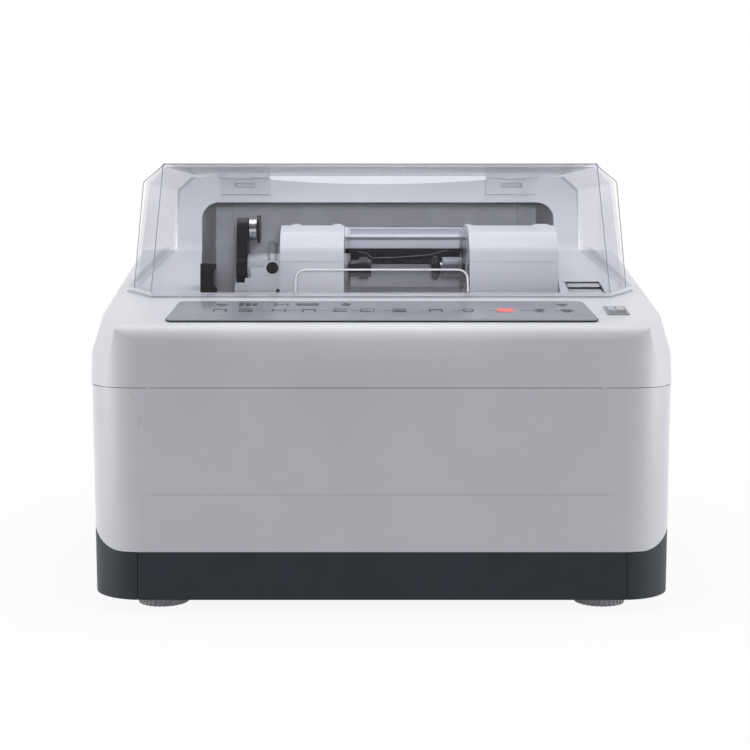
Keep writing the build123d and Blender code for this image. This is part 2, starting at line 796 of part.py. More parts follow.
def make_lid_hinge(side):
    """Moving half of a lid hinge: middle knuckle, strap and pad under the lid's top."""
    x = side * hinge_x
    knuckle = hinge_width / 3 - 0.6
    under = lid_top_z - lid_wall
    leaf = block(x - knuckle / 2, x + knuckle / 2, 222, hinge_axis_d, under - 5, under)
    leaf += block(x - hinge_width / 2, x + hinge_width / 2, 216, 240, under - 4, under)
    leaf += rod_x(hinge_knuckle_radius, x - knuckle / 2, x + knuckle / 2, hinge_axis_d, hinge_axis_z)
    leaf += block(x - hinge_width / 2, x + hinge_width / 2, 236, 240, under - 20, under)
    leaf -= block(x - 11, x + 11, 235, 239, under - 13, under - 8)
    bore = hinge_pin_radius + running_clearance
    return leaf - rod_x(bore, x - hinge_width, x + hinge_width, hinge_axis_d, hinge_axis_z)


def make_hinge_bracket(side):
    """Fixed half of a lid hinge: leaf on the hood's front wall with two knuckles."""
    x = side * hinge_x
    third = hinge_width / 3
    reach = hood_front_d - hinge_axis_d
    bracket = block(
        x - hinge_width / 2,
        x + hinge_width / 2,
        hood_front_d - 2,
        hood_front_d,
        hinge_axis_z - hinge_leaf_height,
        case_top_z - bevel_height - 6,
    )
    for shift in (-third, third):
        x0, x1 = x + shift - third / 2 + 0.3, x + shift + third / 2 - 0.3
        bracket += rod_x(hinge_knuckle_radius, x0, x1, hinge_axis_d, hinge_axis_z)
        web = [
            (hinge_axis_d - hinge_knuckle_radius, hinge_axis_z),
            (hinge_axis_d + 1, hinge_axis_z),
            (hinge_axis_d + reach, hinge_axis_z - 13),
            (hinge_axis_d + reach, hinge_axis_z - hinge_leaf_height),
            (hinge_axis_d + reach - 2, hinge_axis_z - hinge_leaf_height),
        ]
        bracket += side_prism(web, x0, x1)
    half = hinge_width / 2
    return bracket + rod_x(hinge_pin_radius, x - half, x + half, hinge_axis_d, hinge_axis_z)


# ------------------------------------------------- grinding spindle and drive


def make_side_plate(side):
    """Steel side plate that carries the tub, the spindle, the motor and the head."""
    x0 = side * side_plate_x
    x1 = side * (side_plate_x + side_plate_thickness)
    low, high = min(x0, x1), max(x0, x1)
    base_z, back = foot_height + pan_floor, side_plate_back_d
    outline = [(62, base_z), (back, base_z), (back, 300), (272, 300), (62, 240)]
    plate = side_prism(outline, low, high, [(20, [(back, 300), (62, 240)]), (12, [(272, 300)])])
    plate += block(min(x0, x0 - side * 12), max(x0, x0 - side * 12), 62, back, base_z, base_z + 2)
    for x, d in foot_places():
        plate -= block(x - 20, x + 20, d - 18, d + 18, 0, base_z + 10)
    for d in (260.0, 330.0, 400.0):
        plate -= rod_x(24, low - 1, high + 1, d, 90)
    if side < 0:
        plate -= rod_x(housing_radius - 6, low - 1, high + 1, spindle_d, spindle_z)
        plate -= rod_x(14, low - 1, high + 1, spindle_d, motor_z)
    return plate


def make_spindle_housing():
    """Bearing housing that reaches into the tub and carries the wheel spindle."""
    x0, x1 = -side_plate_x, wheel_left_x - 6
    housing = rod_x(housing_radius, x0, x1, spindle_d, spindle_z)
    housing += rod_x(housing_radius + 9, x0, x0 + 4, spindle_d, spindle_z)
    housing -= rod_x(housing_radius - 1.5, -120, -80, spindle_d, spindle_z) - rod_x(
        housing_radius - 4, -121, -79, spindle_d, spindle_z
    )
    return housing - rod_x(spindle_radius + running_clearance, x0 - 1, x1 + 1, spindle_d, spindle_z)


def pulley_x():
    start = -side_plate_x - side_plate_thickness - 4
    return start - belt_width - 4, start


def make_pulley(radius, bore, z):
    """Flanged belt pulley with a crowned rim and a bored hub."""
    x0, x1 = pulley_x()
    pulley = rod_x(radius, x0, x1, spindle_d, z)
    for x in (x0, x1 - 1.5):
        pulley += rod_x(radius + 3.2, x, x + 1.5, spindle_d, z)
    for x in (x0 - 1, x1 - 4):
        pulley -= rod_x(radius - 5, x, x + 5, spindle_d, z) - rod_x(bore + 5, x, x + 5, spindle_d, z)
    return pulley - rod_x(bore, x0 - 5, x1 + 5, spindle_d, z)


def make_spindle():
    """Stepped spindle with the wheel shoulder at its free end."""
    x0, _ = pulley_x()
    wheels_end = wheel_left_x + bevel_wheel_width + wheel_joint + rough_wheel_width
    spindle = rod_x(spindle_radius, x0 - 3, wheels_end + 14, spindle_d, spindle_z)
    spindle += rod_x(spindle_radius + 8, wheel_left_x - 5, wheel_left_x, spindle_d, spindle_z)
    return spindle + make_pulley(spindle_pulley_radius, spindle_radius - 1, spindle_z)


def make_wheel(x0, width, groove):
    """Diamond wheel: grit rim on a dished hub, with a V groove in the bevel wheel."""
    inner = wheel_radius - 7
    profile = [
        (spindle_radius, x0),
        (wheel_radius - 0.8, x0),
        (wheel_radius, x0 + 0.8),
        (wheel_radius, x0 + width - 0.8),
        (wheel_radius - 0.8, x0 + width),
        (spindle_radius, x0 + width),
    ]
    if groove:
        middle = x0 + width * 0.6
        notch = [(wheel_radius, middle - 2.2), (wheel_radius - 1.6, middle), (wheel_radius, middle + 2.2)]
        profile = profile[:3] + notch + profile[3:]
    sketch = Polygon(*[(x, r) for r, x in profile], align=None)
    wheel = revolve(Plane.XZ * sketch, Axis.X)
    dish = Pos(x0 + width, 0, 0) * Rot(0, 90, 0) * (Cylinder(inner, 6) - Cylinder(spindle_radius + 12, 7))
    return Pos(0, y_at(spindle_d), spindle_z) * (wheel - dish)


def make_wheel_nut():
    """Clamping flange and hexagon nut on the end of the spindle."""
    x0 = wheel_left_x + bevel_wheel_width + wheel_joint + rough_wheel_width
    flange = rod_x(spindle_radius + 11, x0, x0 + 3, spindle_d, spindle_z)
    hexagon = extrude(Plane.YZ * RegularPolygon(spindle_radius + 6, 6), 9, dir=(1, 0, 0))
    nut = flange + Pos(x0 + 3, y_at(spindle_d), spindle_z) * hexagon
    return nut - rod_x(spindle_radius, x0 - 1, x0 + 20, spindle_d, spindle_z)


def make_motor():
    """Drive motor: ribbed round body with end bells, bolted to the left side plate."""
    x0 = -side_plate_x
    body = rod_x(motor_radius - 3, x0 + 8, x0 + motor_length - 8, spindle_d, motor_z)
    body += rod_x(motor_radius, x0, x0 + 22, spindle_d, motor_z)
    body += rod_x(motor_radius, x0 + motor_length - 22, x0 + motor_length, spindle_d, motor_z)
    fins = []
    for index in range(9):
        x = x0 + 28 + index * 11
        fins.append(rod_x(motor_radius - 0.5, x, x + 4, spindle_d, motor_z))
    body += fins
    base_z = foot_height + pan_floor
    body += block(x0 + 40, x0 + 110, spindle_d - 30, spindle_d + 30, base_z, motor_z - motor_radius + 12)
    bore = motor_shaft_radius + running_clearance
    return body - rod_x(bore, x0 - 1, x0 + motor_length - 20, spindle_d, motor_z)


def make_motor_rotor():
    """Motor shaft with its belt pulley."""
    x0, _ = pulley_x()
    shaft = rod_x(motor_shaft_radius, x0 - 2, -side_plate_x + motor_length - 21, spindle_d, motor_z)
    return shaft + make_pulley(motor_pulley_radius, motor_shaft_radius - 1, motor_z)


def belt_loop(grow):
    """Solid bounded by a belt's run round both pulleys, grown from the pulley rims."""
    span = spindle_z - motor_z
    big, small = motor_pulley_radius + grow, spindle_pulley_radius + grow
    lean = (big - small) / span
    height = (1 - lean * lean) ** 0.5
    x0, x1 = pulley_x()
    middle = (x0 + x1) / 2
    low, high = middle - belt_width / 2, middle + belt_width / 2
    outline = []
    for side in (1, -1):
        outline.append((spindle_d + side * big * height, motor_z + big * lean))
        outline.append((spindle_d + side * small * height, spindle_z + small * lean))
    quad = [outline[0], outline[1], outline[3], outline[2]]
    loop = side_prism(quad, low, high)
    loop += rod_x(big, low, high, spindle_d, motor_z)
    loop += rod_x(small, low, high, spindle_d, spindle_z)
    return loop


def make_drive_belt():
    return belt_loop(belt_gap + belt_thickness) - belt_loop(belt_gap)


def make_transformer():
    """Mains transformer on the base pan: laminated core with two wound limbs."""
    low = foot_height + pan_floor
    core = block(40, 150, 80, 130, low, low + 92) - block(58, 88, 70, 140, low + 18, low + 74)
    core -= block(102, 132, 70, 140, low + 18, low + 74)
    winding = block(59, 131, 66, 144, low + 22, low + 70)
    winding = fillet(winding.edges().filter_by(Axis.Z), 10)
    return core + winding


# ------------------------------------------------------------------ lens head


def arm_outline(inset, low, high):
    """Side view of a head arm: upright front, rounded brow, flat top."""
    outline = [
        (arm_front_d + inset, low),
        (arm_front_d + inset, 316 - inset / 2),
        (137 + inset, 333 - inset),
        (156, high - inset),
        (arm_back_d - inset, high - inset),
        (arm_back_d - inset, low),
    ]
    return outline


def arm_form(span, inset, low):
    outline = arm_outline(inset, low, arm_top_z)
    radii = [(9 - inset, [outline[1]]), (12 - inset, [outline[2]]), (14 - inset, [outline[3]])]
    return side_prism(outline, span[0] + inset, span[1] - inset, radii)


def boss_holes(span):
    return rod_x(boss_radius + 0.2, span[0] - 50, span[1] + 50, lens_d, lens_z)


def make_head_shell(span):
    """Lower half of an arm's white cover, a thin open moulding."""
    shell = arm_form(span, 0, arm_bottom_z) - arm_form(span, arm_wall, arm_bottom_z + arm_wall)
    shell -= block(span[0] - 5, span[1] + 5, arm_front_d - 5, arm_back_d + 5, arm_seam_z, arm_top_z + 10)
    shell -= block(span[0] - 5, span[1] + 5, arm_back_d - arm_wall - 1, arm_back_d + 5, 0, 400)
    return shell - boss_holes(span)


def beam_cover_form(inset):
    x0, x1 = left_arm_x[0] + inset, right_arm_x[1] - inset
    outline = [
        (arm_back_d - 22 + inset, 250),
        (arm_back_d - 22 + inset, 330 - inset),
        (arm_back_d - 8, arm_top_z - inset),
        (beam_back_d - inset, arm_top_z - inset),
        (beam_back_d - inset, 250),
    ]
    return side_prism(outline, x0, x1, [(8 - inset, [outline[3]])])


def make_head_cap():
    """White cap over both arms and the beam behind them, in one moulding."""
    outer = arm_form(left_arm_x, 0, 250) + arm_form(right_arm_x, 0, 250) + beam_cover_form(0)
    inner = arm_form(left_arm_x, arm_wall, 240) + arm_form(right_arm_x, arm_wall, 240)
    cap = outer - inner - beam_cover_form(arm_wall)
    cap -= block(-200, 200, 100, 300, 200, arm_seam_z + 0.3)
    # Between the arms the beam's front wall ends higher, over a dark gap.
    front = arm_back_d - 22
    cap -= block(left_arm_x[1], right_arm_x[0], front - 1, front + 5, arm_seam_z - 1, beam_lip_z)
    for x0, x1 in cap_bumps_x:
        cap += block(x0, x1, 176, 190, arm_top_z, arm_top_z + 2)
    for x0, x1 in lug_spans:
        cap -= block(x0 - 1, x1 + 1, arm_back_d, beam_back_d + 5, 250, lug_root_z[1] + 2)
    return cap - boss_holes(left_arm_x) - boss_holes(right_arm_x)


def make_head_casting():
    """Enamelled casting of the head: two bored arms, a beam and two pivot lugs."""
    casting = block(-88, -42, 142, 240, 276, 320)
    casting += block(94, 161, 142, 240, 276, 320)
    casting += block(-88, 161, 238, 262, beam_low_z, arm_seam_z)
    for x0, x1 in lug_spans:
        lug = [(240, lug_root_z[0]), (240, lug_root_z[1])]
        lug += [(pivot_d, pivot_z + lug_radius), (pivot_d, pivot_z - lug_radius)]
        casting += side_prism(lug, x0, x1)
        casting += rod_x(lug_radius + 2, x0, x1, pivot_d, pivot_z)
        casting -= rod_x(sleeve_radius + running_clearance, x0 - 1, x1 + 1, pivot_d, pivot_z)
    # Round bosses that carry the clear hood, and the tube to the left-hand case.
    casting += rod_x(boss_radius, -43, visor_left_x + visor_wall, lens_d, lens_z)
    casting += rod_x(boss_radius, visor_right_x - visor_wall, 95, lens_d, lens_z)
    casting += rod_x(boss_radius, belt_case_x[1], -87, lens_d, lens_z)
    casting -= rod_x(lens_shaft_radius + running_clearance, -160, -20, lens_d, lens_z)
    casting -= rod_x(clamp_sleeve_radius + running_clearance, 60, 170, lens_d, lens_z)
    # Weight-saving pockets under the arms and in the back of the beam.
    casting -= block(-80, -50, 190, 232, 270, 312)
    casting -= block(102, 153, 190, 232, 270, 312)
    casting -= block(-50, 120, 246, 263, beam_low_z + 6, arm_seam_z - 6)
    return casting


def make_guide_shaft():
    return rod_x(guide_radius, -side_plate_x + 2.5, side_plate_x - 2.5, pivot_d, pivot_z)


def make_guide_rail():
    return rod_x(rail_radius, -side_plate_x + 2.5, side_plate_x - 2.5, rail_d, pivot_z)


def make_guide_block(side):
    """Bearing block on the tub's side wall for the guide shaft and the rail."""
    x0, x1 = side * mouth_rear_half_width, side * (mouth_rear_half_width - 10)
    front, back, low, high = pivot_d - 22, rail_d + 12, pivot_z - 22, pivot_z + 22
    outline = [(front, low), (front, high), (back, high), (back, low)]
    shape = side_prism(outline, min(x0, x1), max(x0, x1), [(8, outline)])
    shape -= rod_x(guide_radius, -200, 200, pivot_d, pivot_z)
    return shape - rod_x(rail_radius, -200, 200, rail_d, pivot_z)


def make_carriage_sleeve():
    """Sleeve that slides on the guide shaft, with collars and a fork on the rail."""
    sleeve = rod_x(sleeve_radius, -146, 167, pivot_d, pivot_z)
    left, right = lug_spans[0][0], lug_spans[1][1]
    for x0, x1 in ((left - 5.5, left - 0.3), (right + 0.3, right + 5.5)):
        sleeve += rod_x(sleeve_radius + 5, x0, x1, pivot_d, pivot_z)
    fork = block(12, 28, pivot_d, rail_d + 8, pivot_z - 12, pivot_z + 12)
    slot = rail_radius + 0.1
    fork -= block(10, 30, rail_d - slot, rail_d + 20, pivot_z - slot, pivot_z + slot)
    sleeve += fork
    return sleeve - rod_x(guide_radius + running_clearance, -150, 170, pivot_d, pivot_z)


def make_left_shaft():
    """Left lens shaft with its block-holding chuck."""
    shaft = rod_x(lens_shaft_radius, belt_case_x[0] + 3, left_chuck_x - 12, lens_d, lens_z)
    shaft += rod_x(chuck_radius, left_chuck_x - 12, left_chuck_x - 3, lens_d, lens_z)
    nose = rod_x(chuck_radius - 2.5, left_chuck_x - 3, left_chuck_x, lens_d, lens_z)
    slot = block(left_chuck_x - 4, left_chuck_x + 1, lens_d - 1.2, lens_d + 1.2, lens_z - 20, lens_z + 20)
    return shaft + nose - slot


def make_right_shaft():
    """Right lens shaft inside the clamp sleeve, with its retaining collar."""
    shaft = rod_x(right_shaft_radius, right_chuck_x + 8, 168, lens_d, lens_z)
    return shaft + rod_x(right_shaft_radius + 2, 166, 168.4, lens_d, lens_z)


def make_right_pad():
    """Rubber-faced pressure pad on the right lens shaft."""
    rim = chuck_radius + 1
    profile = [(0, 0), (rim - 2, 0), (rim, 2), (rim, 5), (rim - 4, 8), (0, 8)]
    pad = revolve(Plane.XZ * Polygon(*[(x, r) for r, x in profile], align=None), Axis.X)
    return Pos(right_chuck_x, y_at(lens_d), lens_z) * pad


def make_clamp_sleeve():
    sleeve = rod_x(clamp_sleeve_radius, right_chuck_x + 10, 165.6, lens_d, lens_z)
    return sleeve - rod_x(right_shaft_radius + running_clearance, 0, 200, lens_d, lens_z)


def visor_sector(radius, x0, x1, low_angle, high_angle):
    """Pie slice about the lens axis, from one angle to another, along X."""
    outline = [(lens_d, lens_z)]
    steps = 6
    for index in range(steps + 1):
        angle = radians(low_angle + (high_angle - low_angle) * index / steps)
        outline.append((lens_d + 3 * radius * cos(angle), lens_z + 3 * radius * sin(angle)))
    return common(side_prism(outline, x0, x1), rod_x(radius, x0, x1, lens_d, lens_z))


def make_visor():
    """Clear hood over the lens: a curved pane with round cheeks that turn on bosses."""
    angles = (visor_low_angle, visor_high_angle)
    visor = visor_sector(visor_radius, visor_left_x, visor_right_x, *angles)
    inside = rod_x(
        visor_radius - visor_wall,
        visor_left_x + visor_wall,
        visor_right_x - visor_wall,
        lens_d,
        lens_z,
    )
    visor -= inside
    for x in (visor_left_x, visor_right_x - visor_wall):
        visor += rod_x(boss_radius + 6, x, x + visor_wall, lens_d, lens_z)
    bead_angle = radians(visor_low_angle - 2.0)
    visor += rod_x(
        1.6,
        visor_left_x,
        visor_right_x,
        lens_d + (visor_radius - 1.3) * cos(bead_angle),
        lens_z + (visor_radius - 1.3) * sin(bead_angle),
    )
    return visor - rod_x(boss_radius + running_clearance, -60, 120, lens_d, lens_z)


def make_apron():
    """Clear splash plate between the arms, below the hood's front edge."""
    plate = block(left_arm_x[1], right_arm_x[0], 126.5, 129, 276, 302)
    return fillet(plate.edges().filter_by(Axis.Y).sort_by(Axis.Z)[:2], 8)


def make_rear_shield():
    """Clear plate that closes the gap between the hood and the head's beam."""
    return block(left_arm_x[1], right_arm_x[0], 195, arm_back_d - 22, 326.5, 329)


def make_belt_case():
    """Black upright case on the left shaft's end, for the template drive."""
    x0, x1 = belt_case_x
    low_r, high_r = lens_z - 282, 348 - template_z
    case = rod_x(low_r, x0, x1, lens_d, lens_z) + rod_x(high_r, x0, x1, lens_d, template_z)
    outline = [
        (lens_d - 13.5, lens_z + 6),
        (lens_d + 13.5, lens_z + 6),
        (lens_d + high_r, template_z),
        (lens_d - high_r, template_z),
    ]
    case += side_prism(outline, x0, x1)
    case -= rod_x(lens_shaft_radius + running_clearance, x0 + 2.5, x1 + 1, lens_d, lens_z)
    return case - rod_x(template_shaft_radius + running_clearance, x0 + 2.5, x1 + 1, lens_d, template_z)


def template_disc_x():
    """Span of the disc, just clear of the case."""
    start = belt_case_x[1] + 0.4
    return start, start + template_disc_width


def make_template_shaft():
    """Template shaft with the thin flange at its outer end."""
    _, x1 = template_disc_x()
    shaft = rod_x(template_shaft_radius, belt_case_x[0] + 3, x1, lens_d, template_z)
    return shaft + rod_x(template_flange_radius, x1, x1 + 2.5, lens_d, template_z)


def make_template_disc():
    """Turned disc on the template shaft, with a shallow groove round its rim."""
    x0, x1 = template_disc_x()
    disc = rod_x(template_disc_radius, x0, x1, lens_d, template_z)
    disc = chamfer(disc.edges().filter_by(GeomType.CIRCLE), 0.8)
    middle = (x0 + x1) / 2
    groove = rod_x(template_disc_radius + 1, middle - 0.8, middle + 0.8, lens_d, template_z)
    disc -= groove - rod_x(template_disc_radius - 0.6, middle - 1, middle + 1, lens_d, template_z)
    return disc - rod_x(template_shaft_radius, x0 - 1, x1 + 1, lens_d, template_z)


def make_valve_body():
    """White moulded water valve on the head's left side, with a boss for its knob."""
    knob_x, knob_z = valve_knob_x, valve_knob_z
    body = block(-129.6, -99.8, 128, 148, 274, 288.6)
    body += block(-124.3, -108.9, 128, 146, 288, 298.6)
    body += block(-139.6, -129, 130, 142, 273.3, 284)
    body += rod_y(left_arm_x[0] - knob_x, knob_x, 128, 142, knob_z)
    body += block(-110.5, left_arm_x[0], 129, 141, 278, 298)
    body -= block(-125, -119, 127, 131, 290, 294)
    body -= rod_y(2.0 + running_clearance, knob_x, 126, 138, knob_z)
    for x in valve_tube_x:
        body -= rod_z(valve_tube_radius, x, valve_tube_d, knob_z + 1.5, knob_z + 11.5)
    return body


def make_valve_knob():
    knob_x, knob_z = valve_knob_x, valve_knob_z
    knob = rod_y(5.7, knob_x, 118, 127.7, knob_z)
    knob = fillet(knob.edges().filter_by(GeomType.CIRCLE).sort_by(Axis.Y)[:1], 1.2)
    flutes = []
    for index in range(12):
        angle = 2 * pi * index / 12
        flutes.append(rod_y(0.9, knob_x + 6.1 * cos(angle), 117, 125, knob_z + 6.1 * sin(angle)))
    knob -= flutes
    return knob + rod_y(2.0, knob_x, 127, 137.8, knob_z)


def make_valve_tube():
    """Clear water tube bent over in a tight loop behind the knob."""
    left_x, right_x = valve_tube_x
    top_z, foot_z = valve_knob_z + 21.0, valve_knob_z + 6.6
    d = valve_tube_d
    legs = [Line(point(left_x, d, foot_z), point(left_x, d, top_z))]
    middle = (left_x + right_x) / 2
    crest = point(middle, d, top_z + 3.5)
    legs.append(ThreePointArc(point(left_x, d, top_z), crest, point(right_x, d, top_z)))
    legs.append(Line(point(right_x, d, top_z), point(right_x, d, foot_z)))
    path = Wire(legs)
    start = Plane(origin=path @ 0, z_dir=path % 0)
    return sweep(start * Circle(valve_tube_radius), path=path) - sweep(start * Circle(1.2), path=path)


def make_stop_block():
    """Black rubber stop on the tub's left wall, with a waist on its free side."""
    left, edge = -mouth_rear_half_width, stop_right_x
    outline = [(left, 262), (edge + 1.4, 262), (edge + 1.2, 277), (edge - 2.2, 284), (edge - 2.2, 296)]
    outline += [(edge, 298), (edge, 302.5), (left, 302.5)]
    stop = front_prism(outline, stop_front_d, stop_back_d)
    return common(stop, mouth_prism(tub_back_d, 0, 90))


def make_nozzle():
    """Water nozzle that wets the wheels, on a pipe from the tub's back wall."""
    back = tub_back_d - tub_wall - 5
    path = FilletPolyline(point(0, back, nozzle_z), point(0, 262, nozzle_z), point(0, 227, 236), radius=[24])
    start = Plane(origin=path @ 0, z_dir=path % 0)
    pipe = sweep(start * Circle(4.0), path=path)
    foot = block(-12, 12, back, back + 5, nozzle_z - 12, nozzle_z + 12)
    head = block(-26, 6, 222, 232, 232, 244)
    return pipe + foot + head


# ------------------------------------------------------------- rear connectors


def make_power_inlet():
    back = case_depth - 2
    inlet = block(-211, -177, back, back + 2, 35, 61) + block(-207.7, -180.3, back - 22, back, 38.3, 57.7)
    inlet -= block(-206, -182, back - 14, back + 3, 40.5, 55.5)
    for x in (-201.0, -194.0, -187.0):
        inlet += block(x - 1, x + 1, back - 14, back - 3, 46, 50)
    return inlet


def make_water_inlet():
    back = case_depth - 2
    inlet = rod_y(12, 120, back - 5, back - 2, 100) + rod_y(8.8, 120, back - 26, back + 2, 100)
    return inlet - rod_y(5, 120, back - 20, back + 3, 100)


def build():
    os.makedirs("parts", exist_ok=True)
    save(make_base_pan(), "base_pan")
    foot_names = ("foot_front_left", "foot_rear_left", "foot_front_right", "foot_rear_right")
    for name, (x, d) in zip(foot_names, foot_places()):
        save(make_foot(x, d), name)
    save(make_skirt(), "front_skirt")
    save(make_front_cover(), "front_cover")
    save(make_rear_panel(), "rear_panel")
    save(make_upper_housing(), "upper_housing")
    save(make_wet_tub(), "wet_tub")
    save(make_drain(), "drain_pipe")
    save(make_control_panel(), "control_panel")
    save(make_control_board(), "control_board")
    save(make_switch_frame(), "switch_frame")
    save(make_rocker(), "switch_rocker")
    save(make_tray(), "deck_tray")
    for side, name in ((-1, "left"), (1, "right")):
        save(make_side_cover(side), f"side_cover_{name}")
        save(make_side_plate(side), f"side_plate_{name}")
        save(make_lid_hinge(side), f"lid_hinge_{name}")
        save(make_hinge_bracket(side), f"hinge_bracket_{name}")
        save(make_guide_block(side), f"guide_block_{name}")
    save(make_lid_shell(), "lid_shell")
    save(make_spindle_housing(), "spindle_housing")
    save(make_spindle(), "wheel_spindle")
    save(make_wheel(wheel_left_x, bevel_wheel_width, True), "bevel_wheel")
    rough_x = wheel_left_x + bevel_wheel_width + wheel_joint
    save(make_wheel(rough_x, rough_wheel_width, False), "roughing_wheel")
    save(make_wheel_nut(), "wheel_nut")
    save(make_motor(), "drive_motor")
    save(make_motor_rotor(), "motor_rotor")
    save(make_drive_belt(), "drive_belt")
    save(make_transformer(), "transformer")
    save(make_head_shell(left_arm_x), "head_shell_left")
    save(make_head_shell(right_arm_x), "head_shell_right")
    save(make_head_cap(), "head_cap")
    save(make_head_casting(), "head_casting")
    save(make_guide_shaft(), "guide_shaft")
    save(make_guide_rail(), "guide_rail")
    save(make_carriage_sleeve(), "carriage_sleeve")
    save(make_left_shaft(), "left_lens_shaft")
    save(make_right_shaft(), "right_lens_shaft")
    save(make_right_pad(), "pressure_pad")
    save(make_clamp_sleeve(), "clamp_sleeve")
    save(make_visor(), "lens_hood")
    save(make_apron(), "splash_apron")
    save(make_rear_shield(), "rear_shield")
    save(make_belt_case(), "template_case")
    save(make_template_shaft(), "template_shaft")
    save(make_template_disc(), "template_disc")
    save(make_valve_body(), "valve_body")
    save(make_valve_knob(), "valve_knob")
    save(make_valve_tube(), "valve_tube")
    save(make_stop_block(), "stop_block")
    save(make_nozzle(), "water_nozzle")
    save(make_power_inlet(), "power_inlet")
    save(make_water_inlet(), "water_inlet")


build()
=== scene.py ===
import json
from math import atan2, pi, radians, sin, tan

import bpy
from mathutils import Matrix, Vector


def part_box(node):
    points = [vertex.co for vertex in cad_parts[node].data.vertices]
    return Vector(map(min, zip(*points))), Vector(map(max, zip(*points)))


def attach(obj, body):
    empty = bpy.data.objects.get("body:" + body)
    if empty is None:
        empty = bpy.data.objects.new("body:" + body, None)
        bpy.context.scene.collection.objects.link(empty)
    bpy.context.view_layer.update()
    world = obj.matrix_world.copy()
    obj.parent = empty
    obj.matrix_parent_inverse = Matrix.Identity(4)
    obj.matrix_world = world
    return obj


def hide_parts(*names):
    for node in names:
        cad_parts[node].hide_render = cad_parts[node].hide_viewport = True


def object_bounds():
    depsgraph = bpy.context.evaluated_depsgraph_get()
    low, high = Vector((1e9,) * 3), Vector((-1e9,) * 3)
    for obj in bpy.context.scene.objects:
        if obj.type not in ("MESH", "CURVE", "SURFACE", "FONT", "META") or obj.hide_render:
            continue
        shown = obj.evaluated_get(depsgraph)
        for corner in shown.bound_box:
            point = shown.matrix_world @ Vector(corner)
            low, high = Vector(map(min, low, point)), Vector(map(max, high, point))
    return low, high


# Looks of the optical lens edger. Metres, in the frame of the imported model: +Z up,
# front towards -Y, +X to the operator's right.

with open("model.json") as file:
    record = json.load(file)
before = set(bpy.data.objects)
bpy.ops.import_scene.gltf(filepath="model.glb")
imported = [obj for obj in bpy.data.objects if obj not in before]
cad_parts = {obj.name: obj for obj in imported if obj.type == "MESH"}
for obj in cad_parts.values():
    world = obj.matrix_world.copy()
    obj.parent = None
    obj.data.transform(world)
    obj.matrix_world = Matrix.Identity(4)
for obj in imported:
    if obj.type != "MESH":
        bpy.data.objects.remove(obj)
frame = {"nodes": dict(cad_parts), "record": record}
cad_low, cad_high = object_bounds()

MM = 0.001

# ---- sloping deck and what lies on it ----
deck_angle = radians(15.0)
deck_front_height = 248 * MM
panel_length = 58 * MM
panel_thickness = 2 * MM
lower_row = 29 * MM
upper_row = 46 * MM
lamp_x = 111.2 * MM
switch_x = 211 * MM
switch_y = -185 * MM
tray_x = 195.5 * MM

# ---- clear lid: its right-hand corners in millimetres, which the left ones mirror ----
lid_brow = (205.6, -119.4, 397.0)
lid_front_foot = (214.6, -137.4, 274.5)
lid_side_foot = (233.4, -117.6, 279.5)
lid_shoulder = (224.5, -117.6, 379.8)
lid_roof = (204.4, -117.6, 397.0)
flange_corner = (212.2, -144.6)
flange_end = (238.5, -122.8)
flange_rise = 5.85
hinge_x = 139.0

# ---- camera, from the photograph's vanishing point ----
image_size = 750
sensor_width = 36.0
focal_pixels = 1330
horizon_row = 260
vanishing_column = 358
camera_place = Vector((-0.021, -1.380, 0.306))


# ------------------------------------------------------------------ small tools


def mm(*values):
    """A size or a place given in millimetres, as metres."""
    return tuple(value * MM for value in values)


def deck_height(y):
    """Height of the sloping deck at a given place along the depth."""
    return deck_front_height + (y - cad_low.y) * tan(deck_angle)


def colour(code):
    """An sRGB hex value as linear red, green, blue and alpha."""
    levels = []
    for start in (0, 2, 4):
        level = int(code[start : start + 2], 16) / 255
        levels.append(level / 12.92 if level <= 0.04045 else ((level + 0.055) / 1.055) ** 2.4)
    return (*levels, 1.0)


def add(tree, kind, settings=None, **links):
    """Add a shader node. Settings are its properties; links are its inputs, by name."""
    node = tree.nodes.new(kind)
    for key, value in (settings or {}).items():
        setattr(node, key, value)
    for key, value in links.items():
        socket = node.inputs[int(key[1:]) if key[0] == "i" and key[1:].isdigit() else key.replace("_", " ")]
        if isinstance(value, bpy.types.NodeSocket):
            tree.links.new(value, socket)
        else:
            socket.default_value = value
    return node


def new_finish(name, base, roughness, **shader_values):
    """A named material with its Principled shader. Returns material, tree, shader, place."""
    material = bpy.data.materials.new(name)
    material.use_nodes = True
    tree = material.node_tree
    tree.nodes.clear()
    values = {"Base_Color": colour(base), "Roughness": roughness, **shader_values}
    shader = add(tree, "ShaderNodeBsdfPrincipled", **values)
    add(tree, "ShaderNodeOutputMaterial", Surface=shader.outputs["BSDF"])
    place = add(tree, "ShaderNodeTexCoord").outputs["Object"]
    return material, tree, shader, place


def show(tree, shader):
    """Make another shader the one that the surface shows."""
    output = next(node for node in tree.nodes if node.type == "OUTPUT_MATERIAL")
    tree.links.new(shader.outputs["Shader"], output.inputs["Surface"])


def grain(tree, shader, place, size, depth, detail=2.0, stretch=None):
    """Bump of a given grain size and depth in metres; stretch draws it out along an axis."""
    if stretch:
        place = add(tree, "ShaderNodeMapping", Vector=place, Scale=stretch).outputs["Vector"]
    noise = add(tree, "ShaderNodeTexNoise", Vector=place, Scale=1 / size, Detail=detail)
    bump = add(tree, "ShaderNodeBump", Height=noise.outputs["Fac"], Strength=1.0, Distance=depth)
    tree.links.new(bump.outputs["Normal"], shader.inputs["Normal"])
    return noise


